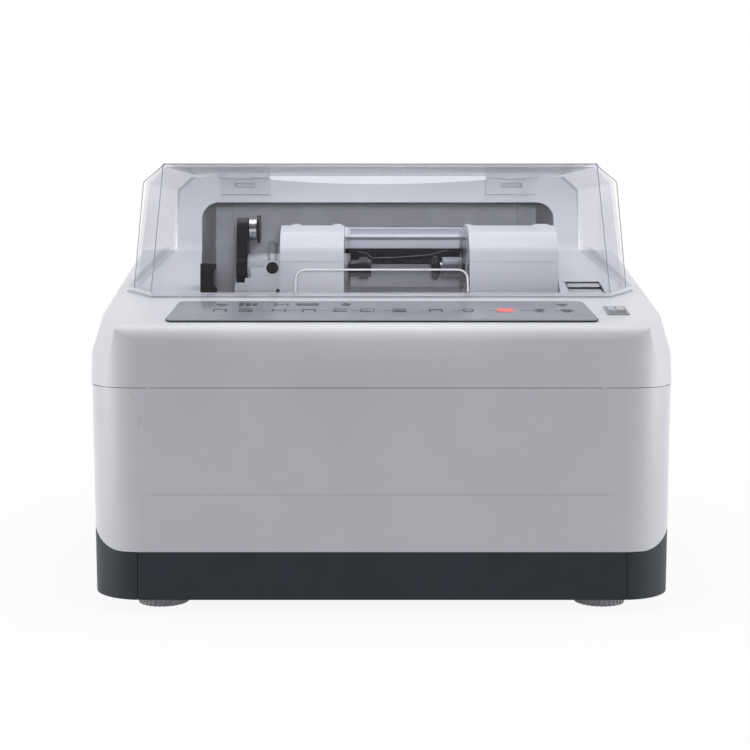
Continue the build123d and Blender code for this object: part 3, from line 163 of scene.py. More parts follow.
def mottle(tree, shader, place, first, second, size, low=0.35, high=0.65):
    """Base colour that drifts between two close colours over patches of a given size."""
    noise = add(tree, "ShaderNodeTexNoise", Vector=place, Scale=1 / size, Detail=3.0)
    ramp = add(tree, "ShaderNodeValToRGB", Fac=noise.outputs["Fac"])
    ramp.color_ramp.elements[0].position = low
    ramp.color_ramp.elements[0].color = colour(first)
    ramp.color_ramp.elements[1].position = high
    ramp.color_ramp.elements[1].color = colour(second)
    tree.links.new(ramp.outputs["Color"], shader.inputs["Base Color"])
    return noise


def scuff(tree, shader, place, size, low, high):
    """Roughness that wanders between two values, as handled surfaces do."""
    noise = add(tree, "ShaderNodeTexNoise", Vector=place, Scale=1 / size, Detail=4.0)
    span = add(tree, "ShaderNodeMapRange", Value=noise.outputs["Fac"], To_Min=low, To_Max=high)
    tree.links.new(span.outputs["Result"], shader.inputs["Roughness"])


# -------------------------------------------------------------------- finishes


def gloss_white_abs():
    """Injection moulded ABS, gloss: faint waviness and an even cool white."""
    made, tree, shader, place = new_finish("gloss_white_abs", "E4E5EA", 0.3, IOR=1.53)
    grain(tree, shader, place, 0.9 * MM, 0.006 * MM)
    mottle(tree, shader, place, "E2E3E8", "E7E8ED", 90 * MM)
    scuff(tree, shader, place, 25 * MM, 0.24, 0.36)
    return made


def grained_slate_abs():
    """Moulded ABS with a spark-eroded grain: dark slate with a soft sheen."""
    made, tree, shader, place = new_finish("grained_slate_abs", "1F262F", 0.5, IOR=1.45)
    grain(tree, shader, place, 0.8 * MM, 0.03 * MM)
    mottle(tree, shader, place, "1D242C", "232A34", 40 * MM)
    scuff(tree, shader, place, 18 * MM, 0.44, 0.56)
    return made


def powder_coated_steel():
    """Powder coat on sheet steel: dark grey with an orange-peel skin."""
    made, tree, shader, place = new_finish("powder_coated_steel", "3E4145", 0.5, IOR=1.5)
    grain(tree, shader, place, 1.2 * MM, 0.05 * MM)
    mottle(tree, shader, place, "3B3E42", "43464A", 30 * MM)
    return made


def foot_rubber():
    """Moulded light grey rubber, matt, a little dusty."""
    made, tree, shader, place = new_finish("moulded_grey_rubber", "E4E5E7", 0.6, IOR=1.52)
    grain(tree, shader, place, 0.6 * MM, 0.02 * MM)
    mottle(tree, shader, place, "DDDEE0", "E9EAEC", 8 * MM)
    return made


def printed_membrane():
    """Polyester film over the keys: smooth, glossy mid grey with faint key fields."""
    made, tree, shader, place = new_finish("printed_polyester_film", "92959F", 0.16, IOR=1.6)
    grain(tree, shader, place, 6 * MM, 0.01 * MM)
    mottle(tree, shader, place, "8F929C", "9699A3", 30 * MM)
    return made


def circuit_laminate():
    """Green lacquered glass laminate with a lattice of copper tracks under the lacquer."""
    made, tree, shader, place = new_finish("lacquered_circuit_laminate", "1E5A34", 0.35, IOR=1.55)
    tracks = add(tree, "ShaderNodeTexBrick", Vector=place, Scale=1 / (6 * MM), Mortar_Size=0.06)
    tracks.inputs["Color1"].default_value = colour("1B5230")
    tracks.inputs["Color2"].default_value = colour("1F5C36")
    tracks.inputs["Mortar"].default_value = colour("3B8A55")
    tree.links.new(tracks.outputs["Color"], shader.inputs["Base Color"])
    return made


def switch_nylon():
    """Glass-filled nylon of the switch frame: mid grey, satin."""
    made, tree, shader, place = new_finish("grey_moulded_nylon", "A0A2A7", 0.42, IOR=1.53)
    grain(tree, shader, place, 0.5 * MM, 0.01 * MM)
    mottle(tree, shader, place, "9B9DA2", "A5A7AC", 6 * MM)
    return made


def paddle_abs():
    """Gloss paddle of the rocker: light grey."""
    made, tree, shader, place = new_finish("light_grey_gloss_abs", "C4C5CA", 0.28, IOR=1.53)
    grain(tree, shader, place, 0.9 * MM, 0.005 * MM)
    mottle(tree, shader, place, "BFC0C5", "C8C9CE", 9 * MM)
    return made


def brushed_stainless():
    """Stainless steel brushed along X: fine streaks and a soft glint."""
    made, tree, shader, place = new_finish("brushed_stainless_steel", "C4C5C8", 0.3, Metallic=1.0)
    grain(tree, shader, place, 0.35 * MM, 0.006 * MM, stretch=(0.03, 1.0, 1.0))
    scuff(tree, shader, place, 3 * MM, 0.24, 0.4)
    return made


def tub_polypropylene():
    """Grey polypropylene of the wet chamber: satin, with dried splash haze."""
    made, tree, shader, place = new_finish("grey_polypropylene", "D4D5D8", 0.45, IOR=1.49)
    grain(tree, shader, place, 1.0 * MM, 0.015 * MM)
    mottle(tree, shader, place, "CFD0D3", "D8D9DC", 28 * MM)
    scuff(tree, shader, place, 14 * MM, 0.36, 0.58)
    return made


def clear_acrylic():
    """Polished clear acrylic: see-through head on, greyer and glossier at a glance, with a painted pale
    sheen laid over it at a glance.
    """
    made, tree, shader, place = new_finish("polished_clear_acrylic", "E6E7EE", 0.2, IOR=1.49)
    grain(tree, shader, place, 60 * MM, 0.02 * MM)
    facing = add(tree, "ShaderNodeLayerWeight", Blend=0.5).outputs["Facing"]
    glance = add(tree, "ShaderNodeMath", {"operation": "POWER"}, i0=facing, i1=4.0).outputs["Value"]
    rim = add(tree, "ShaderNodeMath", {"operation": "POWER"}, i0=facing, i1=9.0).outputs["Value"]
    clear, grey = colour("FAFAFC"), colour("7C7E88")
    tint = add(tree, "ShaderNodeMix", {"data_type": "RGBA"}, i0=rim, i6=clear, i7=grey)
    through = add(tree, "ShaderNodeBsdfTransparent", Color=tint.outputs[2])
    shine = add(tree, "ShaderNodeBsdfGlossy", Color=(1, 1, 1, 1), Roughness=0.02)
    gloss = add(tree, "ShaderNodeMapRange", Value=glance, To_Min=0.02, To_Max=0.35)
    sheet = add(
        tree,
        "ShaderNodeMixShader",
        i0=gloss.outputs["Result"],
        i1=through.outputs["BSDF"],
        i2=shine.outputs["BSDF"],
    )
    # Painted sheen: at a glance a pale lit coat is mixed in, standing in for the light the acrylic's edges
    # and grazing panes catch.
    painted_sheen_share = add(tree, "ShaderNodeMapRange", Value=glance, To_Min=0.003, To_Max=0.1)
    both = add(
        tree,
        "ShaderNodeMixShader",
        i0=painted_sheen_share.outputs["Result"],
        i1=sheet.outputs["Shader"],
        i2=shader.outputs["BSDF"],
    )
    show(tree, both)
    return made


def zinc_plate():
    """Bright zinc plate on sheet steel, with its crystalline patches."""
    made, tree, shader, place = new_finish("zinc_plated_steel", "A9ACB0", 0.38, Metallic=1.0)
    cells = add(tree, "ShaderNodeTexVoronoi", Vector=place, Scale=1 / (9 * MM))
    span = add(tree, "ShaderNodeMapRange", Value=cells.outputs["Distance"], To_Min=0.3, To_Max=0.48)
    tree.links.new(span.outputs["Result"], shader.inputs["Roughness"])
    return made


def cast_aluminium():
    """Sand-cast aluminium: dull silver with a pebbled skin."""
    made, tree, shader, place = new_finish("sand_cast_aluminium", "A7A9AC", 0.5, Metallic=1.0)
    grain(tree, shader, place, 1.1 * MM, 0.08 * MM, detail=4.0)
    scuff(tree, shader, place, 8 * MM, 0.42, 0.6)
    return made


def ground_steel():
    """Ground and hardened steel: bright, with fine rings round the shaft."""
    made, tree, shader, place = new_finish("ground_hardened_steel", "C9CBCE", 0.18, Metallic=1.0)
    grain(tree, shader, place, 0.4 * MM, 0.004 * MM, stretch=(1.0, 0.05, 0.05))
    scuff(tree, shader, place, 6 * MM, 0.14, 0.28)
    return made


def blackened_steel():
    """Chemically blackened steel: near black with an oily sheen."""
    made, tree, shader, place = new_finish("blackened_steel", "26272A", 0.35, IOR=1.6)
    grain(tree, shader, place, 0.6 * MM, 0.01 * MM)
    mottle(tree, shader, place, "222326", "2D2E31", 6 * MM)
    return made


def diamond_grit():
    """Sintered bronze bond with diamond grit: brown-grey and sparkling rough."""
    made, tree, shader, place = new_finish("sintered_diamond_bond", "7A7064", 0.6, Metallic=0.4)
    grain(tree, shader, place, 0.5 * MM, 0.08 * MM, detail=5.0)
    mottle(tree, shader, place, "6C6357", "8C8275", 1.2 * MM, 0.4, 0.6)
    return made


def motor_enamel():
    """Air-dried enamel on the motor: near black, half gloss."""
    made, tree, shader, place = new_finish("black_motor_enamel", "24272B", 0.4, IOR=1.5)
    grain(tree, shader, place, 2.0 * MM, 0.03 * MM)
    mottle(tree, shader, place, "212428", "292C31", 20 * MM)
    return made


def belt_rubber():
    """Neoprene: matt black with a woven back."""
    made, tree, shader, place = new_finish("black_neoprene", "17181A", 0.7, IOR=1.52)
    grain(tree, shader, place, 0.7 * MM, 0.05 * MM)
    mottle(tree, shader, place, "141517", "1D1E20", 5 * MM)
    return made


def varnished_core():
    """Varnished transformer steel, with the edges of its laminations showing."""
    made, tree, shader, place = new_finish("varnished_laminations", "5C4A3A", 0.4, IOR=1.5)
    sheets = add(tree, "ShaderNodeTexWave", {"bands_direction": "Y"}, Vector=place, Scale=1 / (4 * MM))
    bump = add(tree, "ShaderNodeBump", Height=sheets.outputs["Fac"], Strength=1.0, Distance=0.1 * MM)
    tree.links.new(bump.outputs["Normal"], shader.inputs["Normal"])
    mottle(tree, shader, place, "54432F", "665444", 12 * MM)
    return made


def black_nylon():
    """Black moulded nylon, satin with a light bloom."""
    made, tree, shader, place = new_finish("black_moulded_nylon", "18191B", 0.42, IOR=1.46)
    grain(tree, shader, place, 0.6 * MM, 0.02 * MM)
    mottle(tree, shader, place, "151618", "1C1D1F", 10 * MM)
    return made


def pad_rubber():
    """Soft black nitrile facing of the pressure pad."""
    made, tree, shader, place = new_finish("black_nitrile_rubber", "1E1F21", 0.65, IOR=1.52)
    grain(tree, shader, place, 0.5 * MM, 0.03 * MM)
    mottle(tree, shader, place, "1A1B1D", "242527", 4 * MM)
    return made


def hinge_polycarbonate():
    """Pale moulded polycarbonate of the lid hinges: satin, nearly the hood's white."""
    made, tree, shader, place = new_finish("pale_polycarbonate", "DDDEE4", 0.34, IOR=1.58)
    grain(tree, shader, place, 0.8 * MM, 0.01 * MM)
    mottle(tree, shader, place, "DADBE1", "E0E1E7", 12 * MM)
    return made


def head_enamel():
    """Light grey two-pack enamel over the head's casting, with the casting's soft pebble."""
    made, tree, shader, place = new_finish("light_grey_enamel", "BEBFC4", 0.35, IOR=1.5)
    grain(tree, shader, place, 1.4 * MM, 0.04 * MM, detail=3.0)
    mottle(tree, shader, place, "B9BABF", "C3C4C9", 14 * MM)
    return made


def turned_aluminium():
    """Turned aluminium: bright, with fine tool rings about its axis."""
    made, tree, shader, place = new_finish("turned_aluminium", "D2D4D6", 0.25, Metallic=1.0)
    grain(tree, shader, place, 0.5 * MM, 0.01 * MM, stretch=(1.0, 0.04, 0.04))
    scuff(tree, shader, place, 5 * MM, 0.18, 0.32)
    return made


def printed_ink():
    """Dark grey screen ink under the film: crisp, with a trace of the film's gloss."""
    made, tree, shader, place = new_finish("dark_screen_ink", "4B4E57", 0.25, IOR=1.5)
    mottle(tree, shader, place, "464952", "52555E", 3 * MM)
    return made


def lit_lamp():
    """Red lamp window, lit from behind."""
    made, tree, shader, place = new_finish("lit_red_window", "DE6F69", 0.3, IOR=1.5)
    shader.inputs["Emission Color"].default_value = colour("FF6A62")
    shader.inputs["Emission Strength"].default_value = 0.25
    grain(tree, shader, place, 1.5 * MM, 0.01 * MM)
    return made


def rim_highlight_finish():
    """Painted highlight along the acrylic's rims: a near-white, partly clear finish that stands for the
    light the edges gather.
    """
    made, tree, shader, place = new_finish("rim_painted_highlight", "F4F4F8", 0.18, IOR=1.49)
    grain(tree, shader, place, 12 * MM, 0.01 * MM)
    shader.inputs["Transmission Weight"].default_value = 0.25
    return made


def shaded_bend():
    """Painted shade along the bends of the clear sheet, where it turns the light away: a fine half-clear
    grey line.
    """
    made, tree, shader, place = new_finish("acrylic_bend_painted_shade", "A6A8B4", 0.2, IOR=1.49)
    mottle(tree, shader, place, "9A9CA8", "B4B6C2", 30 * MM)
    through = add(tree, "ShaderNodeBsdfTransparent", Color=colour("F4F4F8"))
    mix = add(tree, "ShaderNodeMixShader", i0=0.6, i1=through.outputs["BSDF"], i2=shader.outputs["BSDF"])
    show(tree, mix)
    return made


FINISHES = {
    "white_housing": gloss_white_abs(),
    "slate_cover": grained_slate_abs(),
    "base_steel": powder_coated_steel(),
    "foot_rubber": foot_rubber(),
    "membrane": printed_membrane(),
    "circuit_board": circuit_laminate(),
    "switch_body": switch_nylon(),
    "switch_paddle": paddle_abs(),
    "stainless": brushed_stainless(),
    "tub_grey": tub_polypropylene(),
    "clear_acrylic": clear_acrylic(),
    "zinc_plate": zinc_plate(),
    "cast_aluminium": cast_aluminium(),
    "ground_steel": ground_steel(),
    "blackened_steel": blackened_steel(),
    "diamond_grit": diamond_grit(),
    "motor_enamel": motor_enamel(),
    "belt_rubber": belt_rubber(),
    "transformer_core": varnished_core(),
    "black_plastic": black_nylon(),
    "pad_rubber": pad_rubber(),
    "hinge_plastic": hinge_polycarbonate(),
    "head_enamel": head_enamel(),
    "bright_aluminium": turned_aluminium(),
}
INK = printed_ink()
LAMP = lit_lamp()
PAINTED_RIM_HIGHLIGHT = rim_highlight_finish()
PAINTED_BEND_SHADE = shaded_bend()


def dress_nodes():
    """Give every carried-over node the finish of its slot."""
    for entry in frame["record"]["subparts"]:
        node = frame["nodes"][entry["node"]]
        node.data.materials.clear()
        node.data.materials.append(FINISHES[entry["material_slot"]])


# ------------------------------------------------------------- modelling tools


def deselect():
    """Leave nothing selected."""
    bpy.ops.object.select_all(action="DESELECT")


def settle(piece, name, finish, body, matrix=None):
    """Name a finished piece, put its place into its mesh and tie it to its body."""
    if matrix is not None:
        piece.matrix_world = matrix @ piece.matrix_world
    bpy.context.view_layer.update()
    piece.data.transform(piece.matrix_world)
    piece.matrix_world = Matrix.Identity(4)
    piece.name = name
    piece.data.name = name
    piece.data.materials.clear()
    piece.data.materials.append(finish)
    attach(piece, body)
    deselect()
    return piece


def join(pieces):
    """Make one piece of several."""
    deselect()
    for piece in pieces:
        piece.select_set(True)
    bpy.context.view_layer.objects.active = pieces[0]
    bpy.ops.object.join()
    return bpy.context.view_layer.objects.active


def disc(sides, radius, x, y, turn=0.0):
    """Flat filled polygon on the ground plane, the start of a printed mark."""
    deselect()
    bpy.ops.mesh.primitive_circle_add(
        vertices=sides, radius=radius, fill_type="NGON", location=(x, y, 0), rotation=(0, 0, turn)
    )
    piece = bpy.context.object
    bpy.ops.object.transform_apply(location=True, rotation=True, scale=True)
    return piece


def plate(width, length, x, y, corner):
    """Flat rectangle with rounded corners, the start of a printed mark or a window."""
    deselect()
    bpy.ops.mesh.primitive_plane_add(size=1.0, location=(x, y, 0))
    piece = bpy.context.object
    piece.scale = (width, length, 1)
    bpy.ops.object.transform_apply(location=True, rotation=True, scale=True)
    bpy.ops.object.mode_set(mode="EDIT")
    bpy.ops.mesh.select_all(action="SELECT")
    bpy.ops.mesh.bevel(offset=corner, segments=3, affect="VERTICES")
    bpy.ops.object.mode_set(mode="OBJECT")
    return piece


def hollow_out(piece, rim):
    """Inset the face of a flat mark and delete its middle, which leaves a ring."""
    bpy.context.view_layer.objects.active = piece
    bpy.ops.object.mode_set(mode="EDIT")
    bpy.ops.mesh.select_all(action="SELECT")
    bpy.ops.mesh.inset(thickness=rim)
    bpy.ops.mesh.delete(type="FACE")
    bpy.ops.object.mode_set(mode="OBJECT")
    return piece


def thicken(piece, height):
    """Raise a flat mark by a film's thickness."""
    bpy.context.view_layer.objects.active = piece
    bpy.ops.object.mode_set(mode="EDIT")
    bpy.ops.mesh.select_all(action="SELECT")
    bpy.ops.mesh.extrude_region_move(TRANSFORM_OT_translate={"value": (0, 0, height)})
    bpy.ops.mesh.select_all(action="SELECT")
    bpy.ops.mesh.normals_make_consistent(inside=False)
    bpy.ops.object.mode_set(mode="OBJECT")
    return piece


def edit(piece):
    """Enter edit mode on one piece with all of it selected."""
    deselect()
    piece.select_set(True)
    bpy.context.view_layer.objects.active = piece
    bpy.ops.object.mode_set(mode="EDIT")
    bpy.ops.mesh.select_all(action="SELECT")


def leave_edit(smooth_angle=None):
    """Make the normals agree, leave edit mode and shade gentle edges smooth."""
    bpy.ops.mesh.select_all(action="SELECT")
    bpy.ops.mesh.normals_make_consistent(inside=False)
    bpy.ops.object.mode_set(mode="OBJECT")
    if smooth_angle:
        bpy.ops.object.shade_smooth_by_angle(angle=radians(smooth_angle))


def pick_faces(piece, wanted):
    """Select the faces whose centre and normal pass a test, in edit mode."""
    bpy.ops.mesh.select_all(action="DESELECT")
    bpy.ops.object.mode_set(mode="OBJECT")
    for face in piece.data.polygons:
        face.select = wanted(face.center, face.normal)
    bpy.ops.object.mode_set(mode="EDIT")


def pick_vertices(piece, wanted):
    """Select the vertices whose place passes a test, in edit mode."""
    bpy.ops.mesh.select_all(action="DESELECT")
    bpy.ops.mesh.select_mode(type="VERT")
    bpy.ops.object.mode_set(mode="OBJECT")
    for vertex in piece.data.vertices:
        vertex.select = wanted(vertex.co)
    bpy.ops.object.mode_set(mode="EDIT")


def slab(size, place, round_by, segments=2):
    """Box of a given size and place with rounded edges."""
    deselect()
    bpy.ops.mesh.primitive_cube_add(size=1.0, location=place)
    piece = bpy.context.object
    piece.scale = size
    bpy.ops.object.transform_apply(location=True, rotation=True, scale=True)
    edit(piece)
    bpy.ops.mesh.bevel(offset=round_by, segments=segments, affect="EDGES")
    leave_edit(35)
    return piece


def relief(piece, normal, rim, depth):
    """Inset the flat face that looks along a normal and push its middle in or out."""
    edit(piece)
    ahead = Vector(normal)
    pick_faces(piece, lambda centre, n: n.dot(ahead) > 0.99)
    bpy.ops.mesh.inset(thickness=rim)
    bpy.ops.mesh.extrude_region_move(TRANSFORM_OT_translate={"value": ahead * depth})
    leave_edit(35)
    return piece


def stub(radius, length, place, along, sides=24, round_by=0.0):
    """Short round bar centred on a place, with rounded ends."""
    deselect()
    turn = Vector(along).to_track_quat("Z", "Y").to_euler()
    bpy.ops.mesh.primitive_cylinder_add(
        vertices=sides, radius=radius, depth=length, location=place, rotation=turn
    )
    piece = bpy.context.object
    bpy.ops.object.transform_apply(location=True, rotation=True, scale=True)
    if round_by:
        edit(piece)
        ahead = Vector(along).normalized()
        pick_faces(piece, lambda centre, n: abs(n.dot(ahead)) > 0.99)
        bpy.ops.mesh.region_to_loop()
        bpy.ops.mesh.bevel(offset=round_by, segments=3, affect="EDGES")
        leave_edit()
    deselect()
    piece.select_set(True)
    bpy.ops.object.shade_smooth_by_angle(angle=radians(35))
    return piece


def tube(radius, start, heading, moves, sides=10):
    """Ring drawn along straight runs and spun round bends, closed at both ends."""
    deselect()
    turn = Vector(heading).to_track_quat("Z", "Y").to_euler()
    bpy.ops.mesh.primitive_circle_add(vertices=sides, radius=radius, location=start, rotation=turn)
    piece = bpy.context.object
    bpy.ops.object.transform_apply(location=True, rotation=True, scale=True)
    edit(piece)
    for move in moves:
        if isinstance(move, dict):
            bpy.ops.mesh.spin(steps=6, **move)
        else:
            bpy.ops.mesh.extrude_region_move(TRANSFORM_OT_translate={"value": move})
    bpy.ops.mesh.select_all(action="SELECT")
    bpy.ops.mesh.remove_doubles(threshold=0.01 * MM)
    bpy.ops.mesh.fill_holes(sides=0)
    leave_edit(40)
    return piece


def copy_of(piece):
    """A second piece with its own mesh."""
    twin = piece.copy()
    twin.data = piece.data.copy()
    bpy.context.scene.collection.objects.link(twin)
    return twin


def deck_matrix(lift):
    """From flat panel coordinates (x, up the slope, lift) to the sloping panel's top."""
    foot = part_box("control_panel")[0]
    base = Vector((0, foot.y + panel_thickness * sin(deck_angle), foot.z))
    turn = Matrix.Rotation(deck_angle, 4, "X")
    raise_by = Matrix.Translation((0, 0, panel_thickness + lift))
    return Matrix.Translation(base) @ turn @ raise_by


# --------------------------------------------------------------- panel details


def pictogram(kind, x, y):
    """One generic key symbol, 9 to 21 mm wide, as a few flat pieces."""
    if kind == "ring":
        return [hollow_out(disc(28, 5 * MM, x, y), 1.0 * MM)]
    if kind == "arch":
        legs = [plate(1.6 * MM, 6 * MM, x + side * 5.4 * MM, y - 2 * MM, 0.4 * MM) for side in (-1, 1)]
        return legs + [plate(12.4 * MM, 2.6 * MM, x, y + 2 * MM, 0.9 * MM)]
    if kind == "bars":
        return [plate(13 * MM, 1.7 * MM, x, y + shift * MM, 0.5 * MM) for shift in (-4, 0, 4)]
    if kind == "frame":
        return [hollow_out(plate(13 * MM, 9 * MM, x, y, 1.6 * MM), 1.1 * MM)]
    if kind == "gate":
        ends = [plate(1.7 * MM, 9 * MM, x + side * 5.6 * MM, y, 0.5 * MM) for side in (-1, 1)]
        return ends + [plate(10 * MM, 1.7 * MM, x, y, 0.5 * MM)]
    if kind == "three":
        return [plate(4.6 * MM, 9 * MM, x + shift * MM, y, 0.9 * MM) for shift in (-6, 0, 6)]
    if kind == "bar":
        return [plate(21 * MM, 7 * MM, x, y, 1 * MM)]
    if kind == "cap":
        return [plate(11 * MM, 4.4 * MM, x, y, 2.1 * MM), plate(6 * MM, 2 * MM, x, y - 4.4 * MM, 0.8 * MM)]
    return [disc(24, 4.4 * MM, x, y)]


LOWER_MARKS = (
    (-144.6, "arch"),
    (-121.6, "bars"),
    (-91.8, "gate"),
    (-64.9, "arch"),
    (-37.1, "bars"),
    (-12.9, "frame"),
    (16.3, "bars"),
    (48.4, "arch"),
    (77.6, "ring"),
    (141.8, "dot"),
    (166.0, "cap"),
)
UPPER_MARKS = (
    (-144.0, "cap"),
    (-120.6, "three"),
    (-90.3, "gate"),
    (-67.0, "bar"),
    (-31.9, "dot"),
    (164.0, "cap"),
)


def panel_pictograms():
    """Two rows of small generic marks, at the spacing of the keys."""
    marks = []
    for row, places in ((lower_row, LOWER_MARKS), (upper_row, UPPER_MARKS)):
        for x, kind in places:
            marks += pictogram(kind, x * MM, row)
    sheet = thicken(join(marks), 0.12 * MM)
    settle(sheet, "panel_pictograms", INK, "chassis", deck_matrix(0.02 * MM))


def panel_lamp():
    """Red lamp window in the lower row."""
    window = thicken(plate(15 * MM, 11 * MM, lamp_x, lower_row, 3 * MM), 0.15 * MM)
    settle(window, "panel_lamp", LAMP, "chassis", deck_matrix(0.03 * MM))


def panel_foot_shade_frame():
    """Black frame that paints the shade as a dark line round the panel's foot."""
    low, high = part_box("control_panel")
    overhang, height, rear_narrowing = 1.6 * MM, 1.3 * MM, 0.972
    middle = panel_length / 2
    # Painted shade: the black frame stands in for the shaded side under the panel's edge.
    shade_frame = plate(high.x - low.x + overhang, panel_length + overhang, 0, middle, 6 * MM)
    edit(shade_frame)
    pick_vertices(shade_frame, lambda place: place.y > middle)
    bpy.ops.transform.resize(value=(rear_narrowing, 1, 1), center_override=(0, middle, 0))
    bpy.ops.mesh.select_all(action="SELECT")
    bpy.ops.mesh.extrude_region_move(TRANSFORM_OT_translate={"value": (0, 0, height)})
    leave_edit()
    finish, place = FINISHES["black_plastic"], deck_matrix(-panel_thickness)
    settle(shade_frame, "panel_foot_shade_frame", finish, "chassis", place)


# ---------------------------------------------------------------- lid details


def hinge_slots():
    """Grey release key set in the slot of each hinge pad."""
    for side, name in ((-1, "left"), (1, "right")):
        key = slab(mm(20.6, 1.2, 4.4), mm(side * hinge_x, 8.2, 384), 0.5 * MM)
        relief(key, (0, -1, 0), 0.7 * MM, -0.4 * MM)
        settle(key, f"hinge_key_{name}", FINISHES["tub_grey"], "lid")


def grip_highlight_bead():
    """Bead of painted highlight round the lid's grip bulge: up, across and down again."""
    left, right, front = mm(-79, 81, -143.6)
    foot, top, corner = mm(276.5, 297, 9)
    bead = tube(
        0.9 * MM,
        (left, front, foot),
        (0, 0, 1),
        [
            (0, 0, top - corner - foot),
            {"angle": -pi / 2, "center": (left + corner, front, top - corner), "axis": (0, 1, 0)},
            (right - left - 2 * corner, 0, 0),
            {"angle": -pi / 2, "center": (right - corner, front, top - corner), "axis": (0, 1, 0)},
            (0, 0, foot - top + corner),
        ],
    )
    # The bead carries the painted rim highlight.
    settle(bead, "grip_highlight_bead", PAINTED_RIM_HIGHLIGHT, "lid")


def sheet_line(name, start, end, finish, radius=0.45 * MM):
    """Fine bead along one of the clear sheet's bends or edges, in the finish given: the painted rim
    highlight or the painted bend shade.
    """
    start, end = Vector(start) * MM, Vector(end) * MM
    line = stub(radius, (end - start).length, (start + end) / 2, end - start, sides=12, round_by=radius / 2)
    settle(line, name, finish, "lid")


def on_side(side, corner):
    """One of the lid's corners, on its right (1) or its left (-1)."""
    x, *rest = corner
    return (side * x, *rest)


def lid_bends():
    """Painted shade lines on the bends of the lid: along the brow, down the front corners and round the
    shoulders.
    """
    short_of_corner = 0.2
    brow_end = (lid_brow[0] - short_of_corner, *lid_brow[1:])
    sheet_line("lid_bend_brow", on_side(-1, brow_end), brow_end, PAINTED_BEND_SHADE)
    bends = (
        ("corner", lid_front_foot, lid_brow),
        ("side", lid_side_foot, lid_shoulder),
        ("shoulder", lid_shoulder, lid_roof),
    )
    for side, name in ((-1, "left"), (1, "right")):
        for bend, start, end in bends:
            sheet_line(f"lid_bend_{bend}_{name}", on_side(side, start), on_side(side, end), PAINTED_BEND_SHADE)


def flange_edges():
    """Painted highlight on the upper edge and painted shadow along the lower edge of the lid's flange,
    round its front.
    """
    for level, finish, part in ((275.1, PAINTED_RIM_HIGHLIGHT, "upper"), (271.8, PAINTED_BEND_SHADE, "lower")):
        corner, end = (*flange_corner, level), (*flange_end, level + flange_rise)
        sheet_line(f"flange_{part}_front", on_side(-1, corner), corner, finish)
        for side, name in ((-1, "left"), (1, "right")):
            sheet_line(f"flange_{part}_{name}", on_side(side, corner), on_side(side, end), finish)


# ------------------------------------------------------------------ tray details


def tray_rails():
    """Two polished rails across the sunk tray, one behind the other and a little higher."""
    lean = Matrix.Rotation(deck_angle, 4, "X")
    for name, y, length, drop in (("rear", -101.0, 11.0, 1.4), ("front", -118.0, 15.0, 2.6)):
        bar = slab(mm(31, length, 2.4), (0, 0, 0), 0.8 * MM, 3)
        place = Matrix.Translation((tray_x, y * MM, deck_height(y * MM) - drop * MM))
        settle(bar, f"tray_rail_{name}", FINISHES["stainless"], "chassis", place @ lean)


# --------------------------------------------------------------- head details


def head_feelers():
    """Dark sheet under the beam that paints the shadow in the gap there, with two feelers and the wire
    between them.
    """
    # Painted shadow: a black sheet hung in the dark gap under the beam cover.
    shadow_sheet = slab(mm(118, 3, 22), mm(25.5, -4, 313), 0.8 * MM)
    relief(shadow_sheet, (0, -1, 0), 3 * MM, -0.8 * MM)
    settle(shadow_sheet, "beam_shadow_sheet", FINISHES["belt_rubber"], "head")
    finger = stub(5.6 * MM, 9 * MM, mm(-12.5, -10, 308.8), (0, 1, 0), round_by=1.2 * MM)
    twin = copy_of(finger)
    settle(finger, "feeler_left", FINISHES["black_plastic"], "head")
    shift = Matrix.Translation(mm(74.5, 0, 0.6))
    settle(twin, "feeler_right", FINISHES["black_plastic"], "head", shift)
    # The wire sags between the feelers: its straight runs to the right and up or down.
    runs = ((8.2, -1.5), (6.7, -5.1), (23.2, 0.5), (20.6, 1.5), (17.5, 1.6), (8.2, 3.0), (7.2, 1.1))
    wire = tube(0.55 * MM, mm(-21, -15.4, 314.7), (1, 0, 0), [mm(x, 0, z) for x, z in runs])
    settle(wire, "feeler_wire", FINISHES["stainless"], "head")


# ------------------------------------------------------- fastenings and marks


def screw_head():
    """Pan-head screw with a cross recess, at the origin and looking along +Z."""
    head = stub(3.0 * MM, 1.4 * MM, mm(0, 0, 0.65), (0, 0, 1), sides=28, round_by=0.5 * MM)
    # The cross bars differ a little, so that no two of their faces lie in one plane.
    first_bar = slab(mm(3.4, 0.8, 1.4), mm(0, 0, 1.3), 0.1 * MM, 1)
    second_bar = slab(mm(0.8, 3.38, 1.38), mm(0, 0, 1.3), 0.1 * MM, 1)
    cutter = join([first_bar, second_bar])
    deselect()
    bpy.context.view_layer.objects.active = head
    head.select_set(True)
    recess = head.modifiers.new("recess", "BOOLEAN")
    recess.operation = "DIFFERENCE"
    recess.use_self = True
    recess.object = cutter
    bpy.ops.object.modifier_apply(modifier="recess")
    bpy.data.objects.remove(cutter)
    return head


def rear_screws():
    """Screws of the rear panel and of the hood's back."""
    model = screw_head()
    places = [(x, 228.0, z) for x in (-228, 0, 228) for z in (24, 184)]
    places += [(x, 222.0, 330) for x in (-180, 180)]
    for index, (x, y, z) in enumerate(places):
        twin = copy_of(model)
        aim = Matrix.Translation(mm(x, y, z)) @ Matrix.Rotation(-pi / 2, 4, "X")
        settle(twin, f"rear_screw_{index + 1}", FINISHES["zinc_plate"], "chassis", aim)
    bpy.data.objects.remove(model)


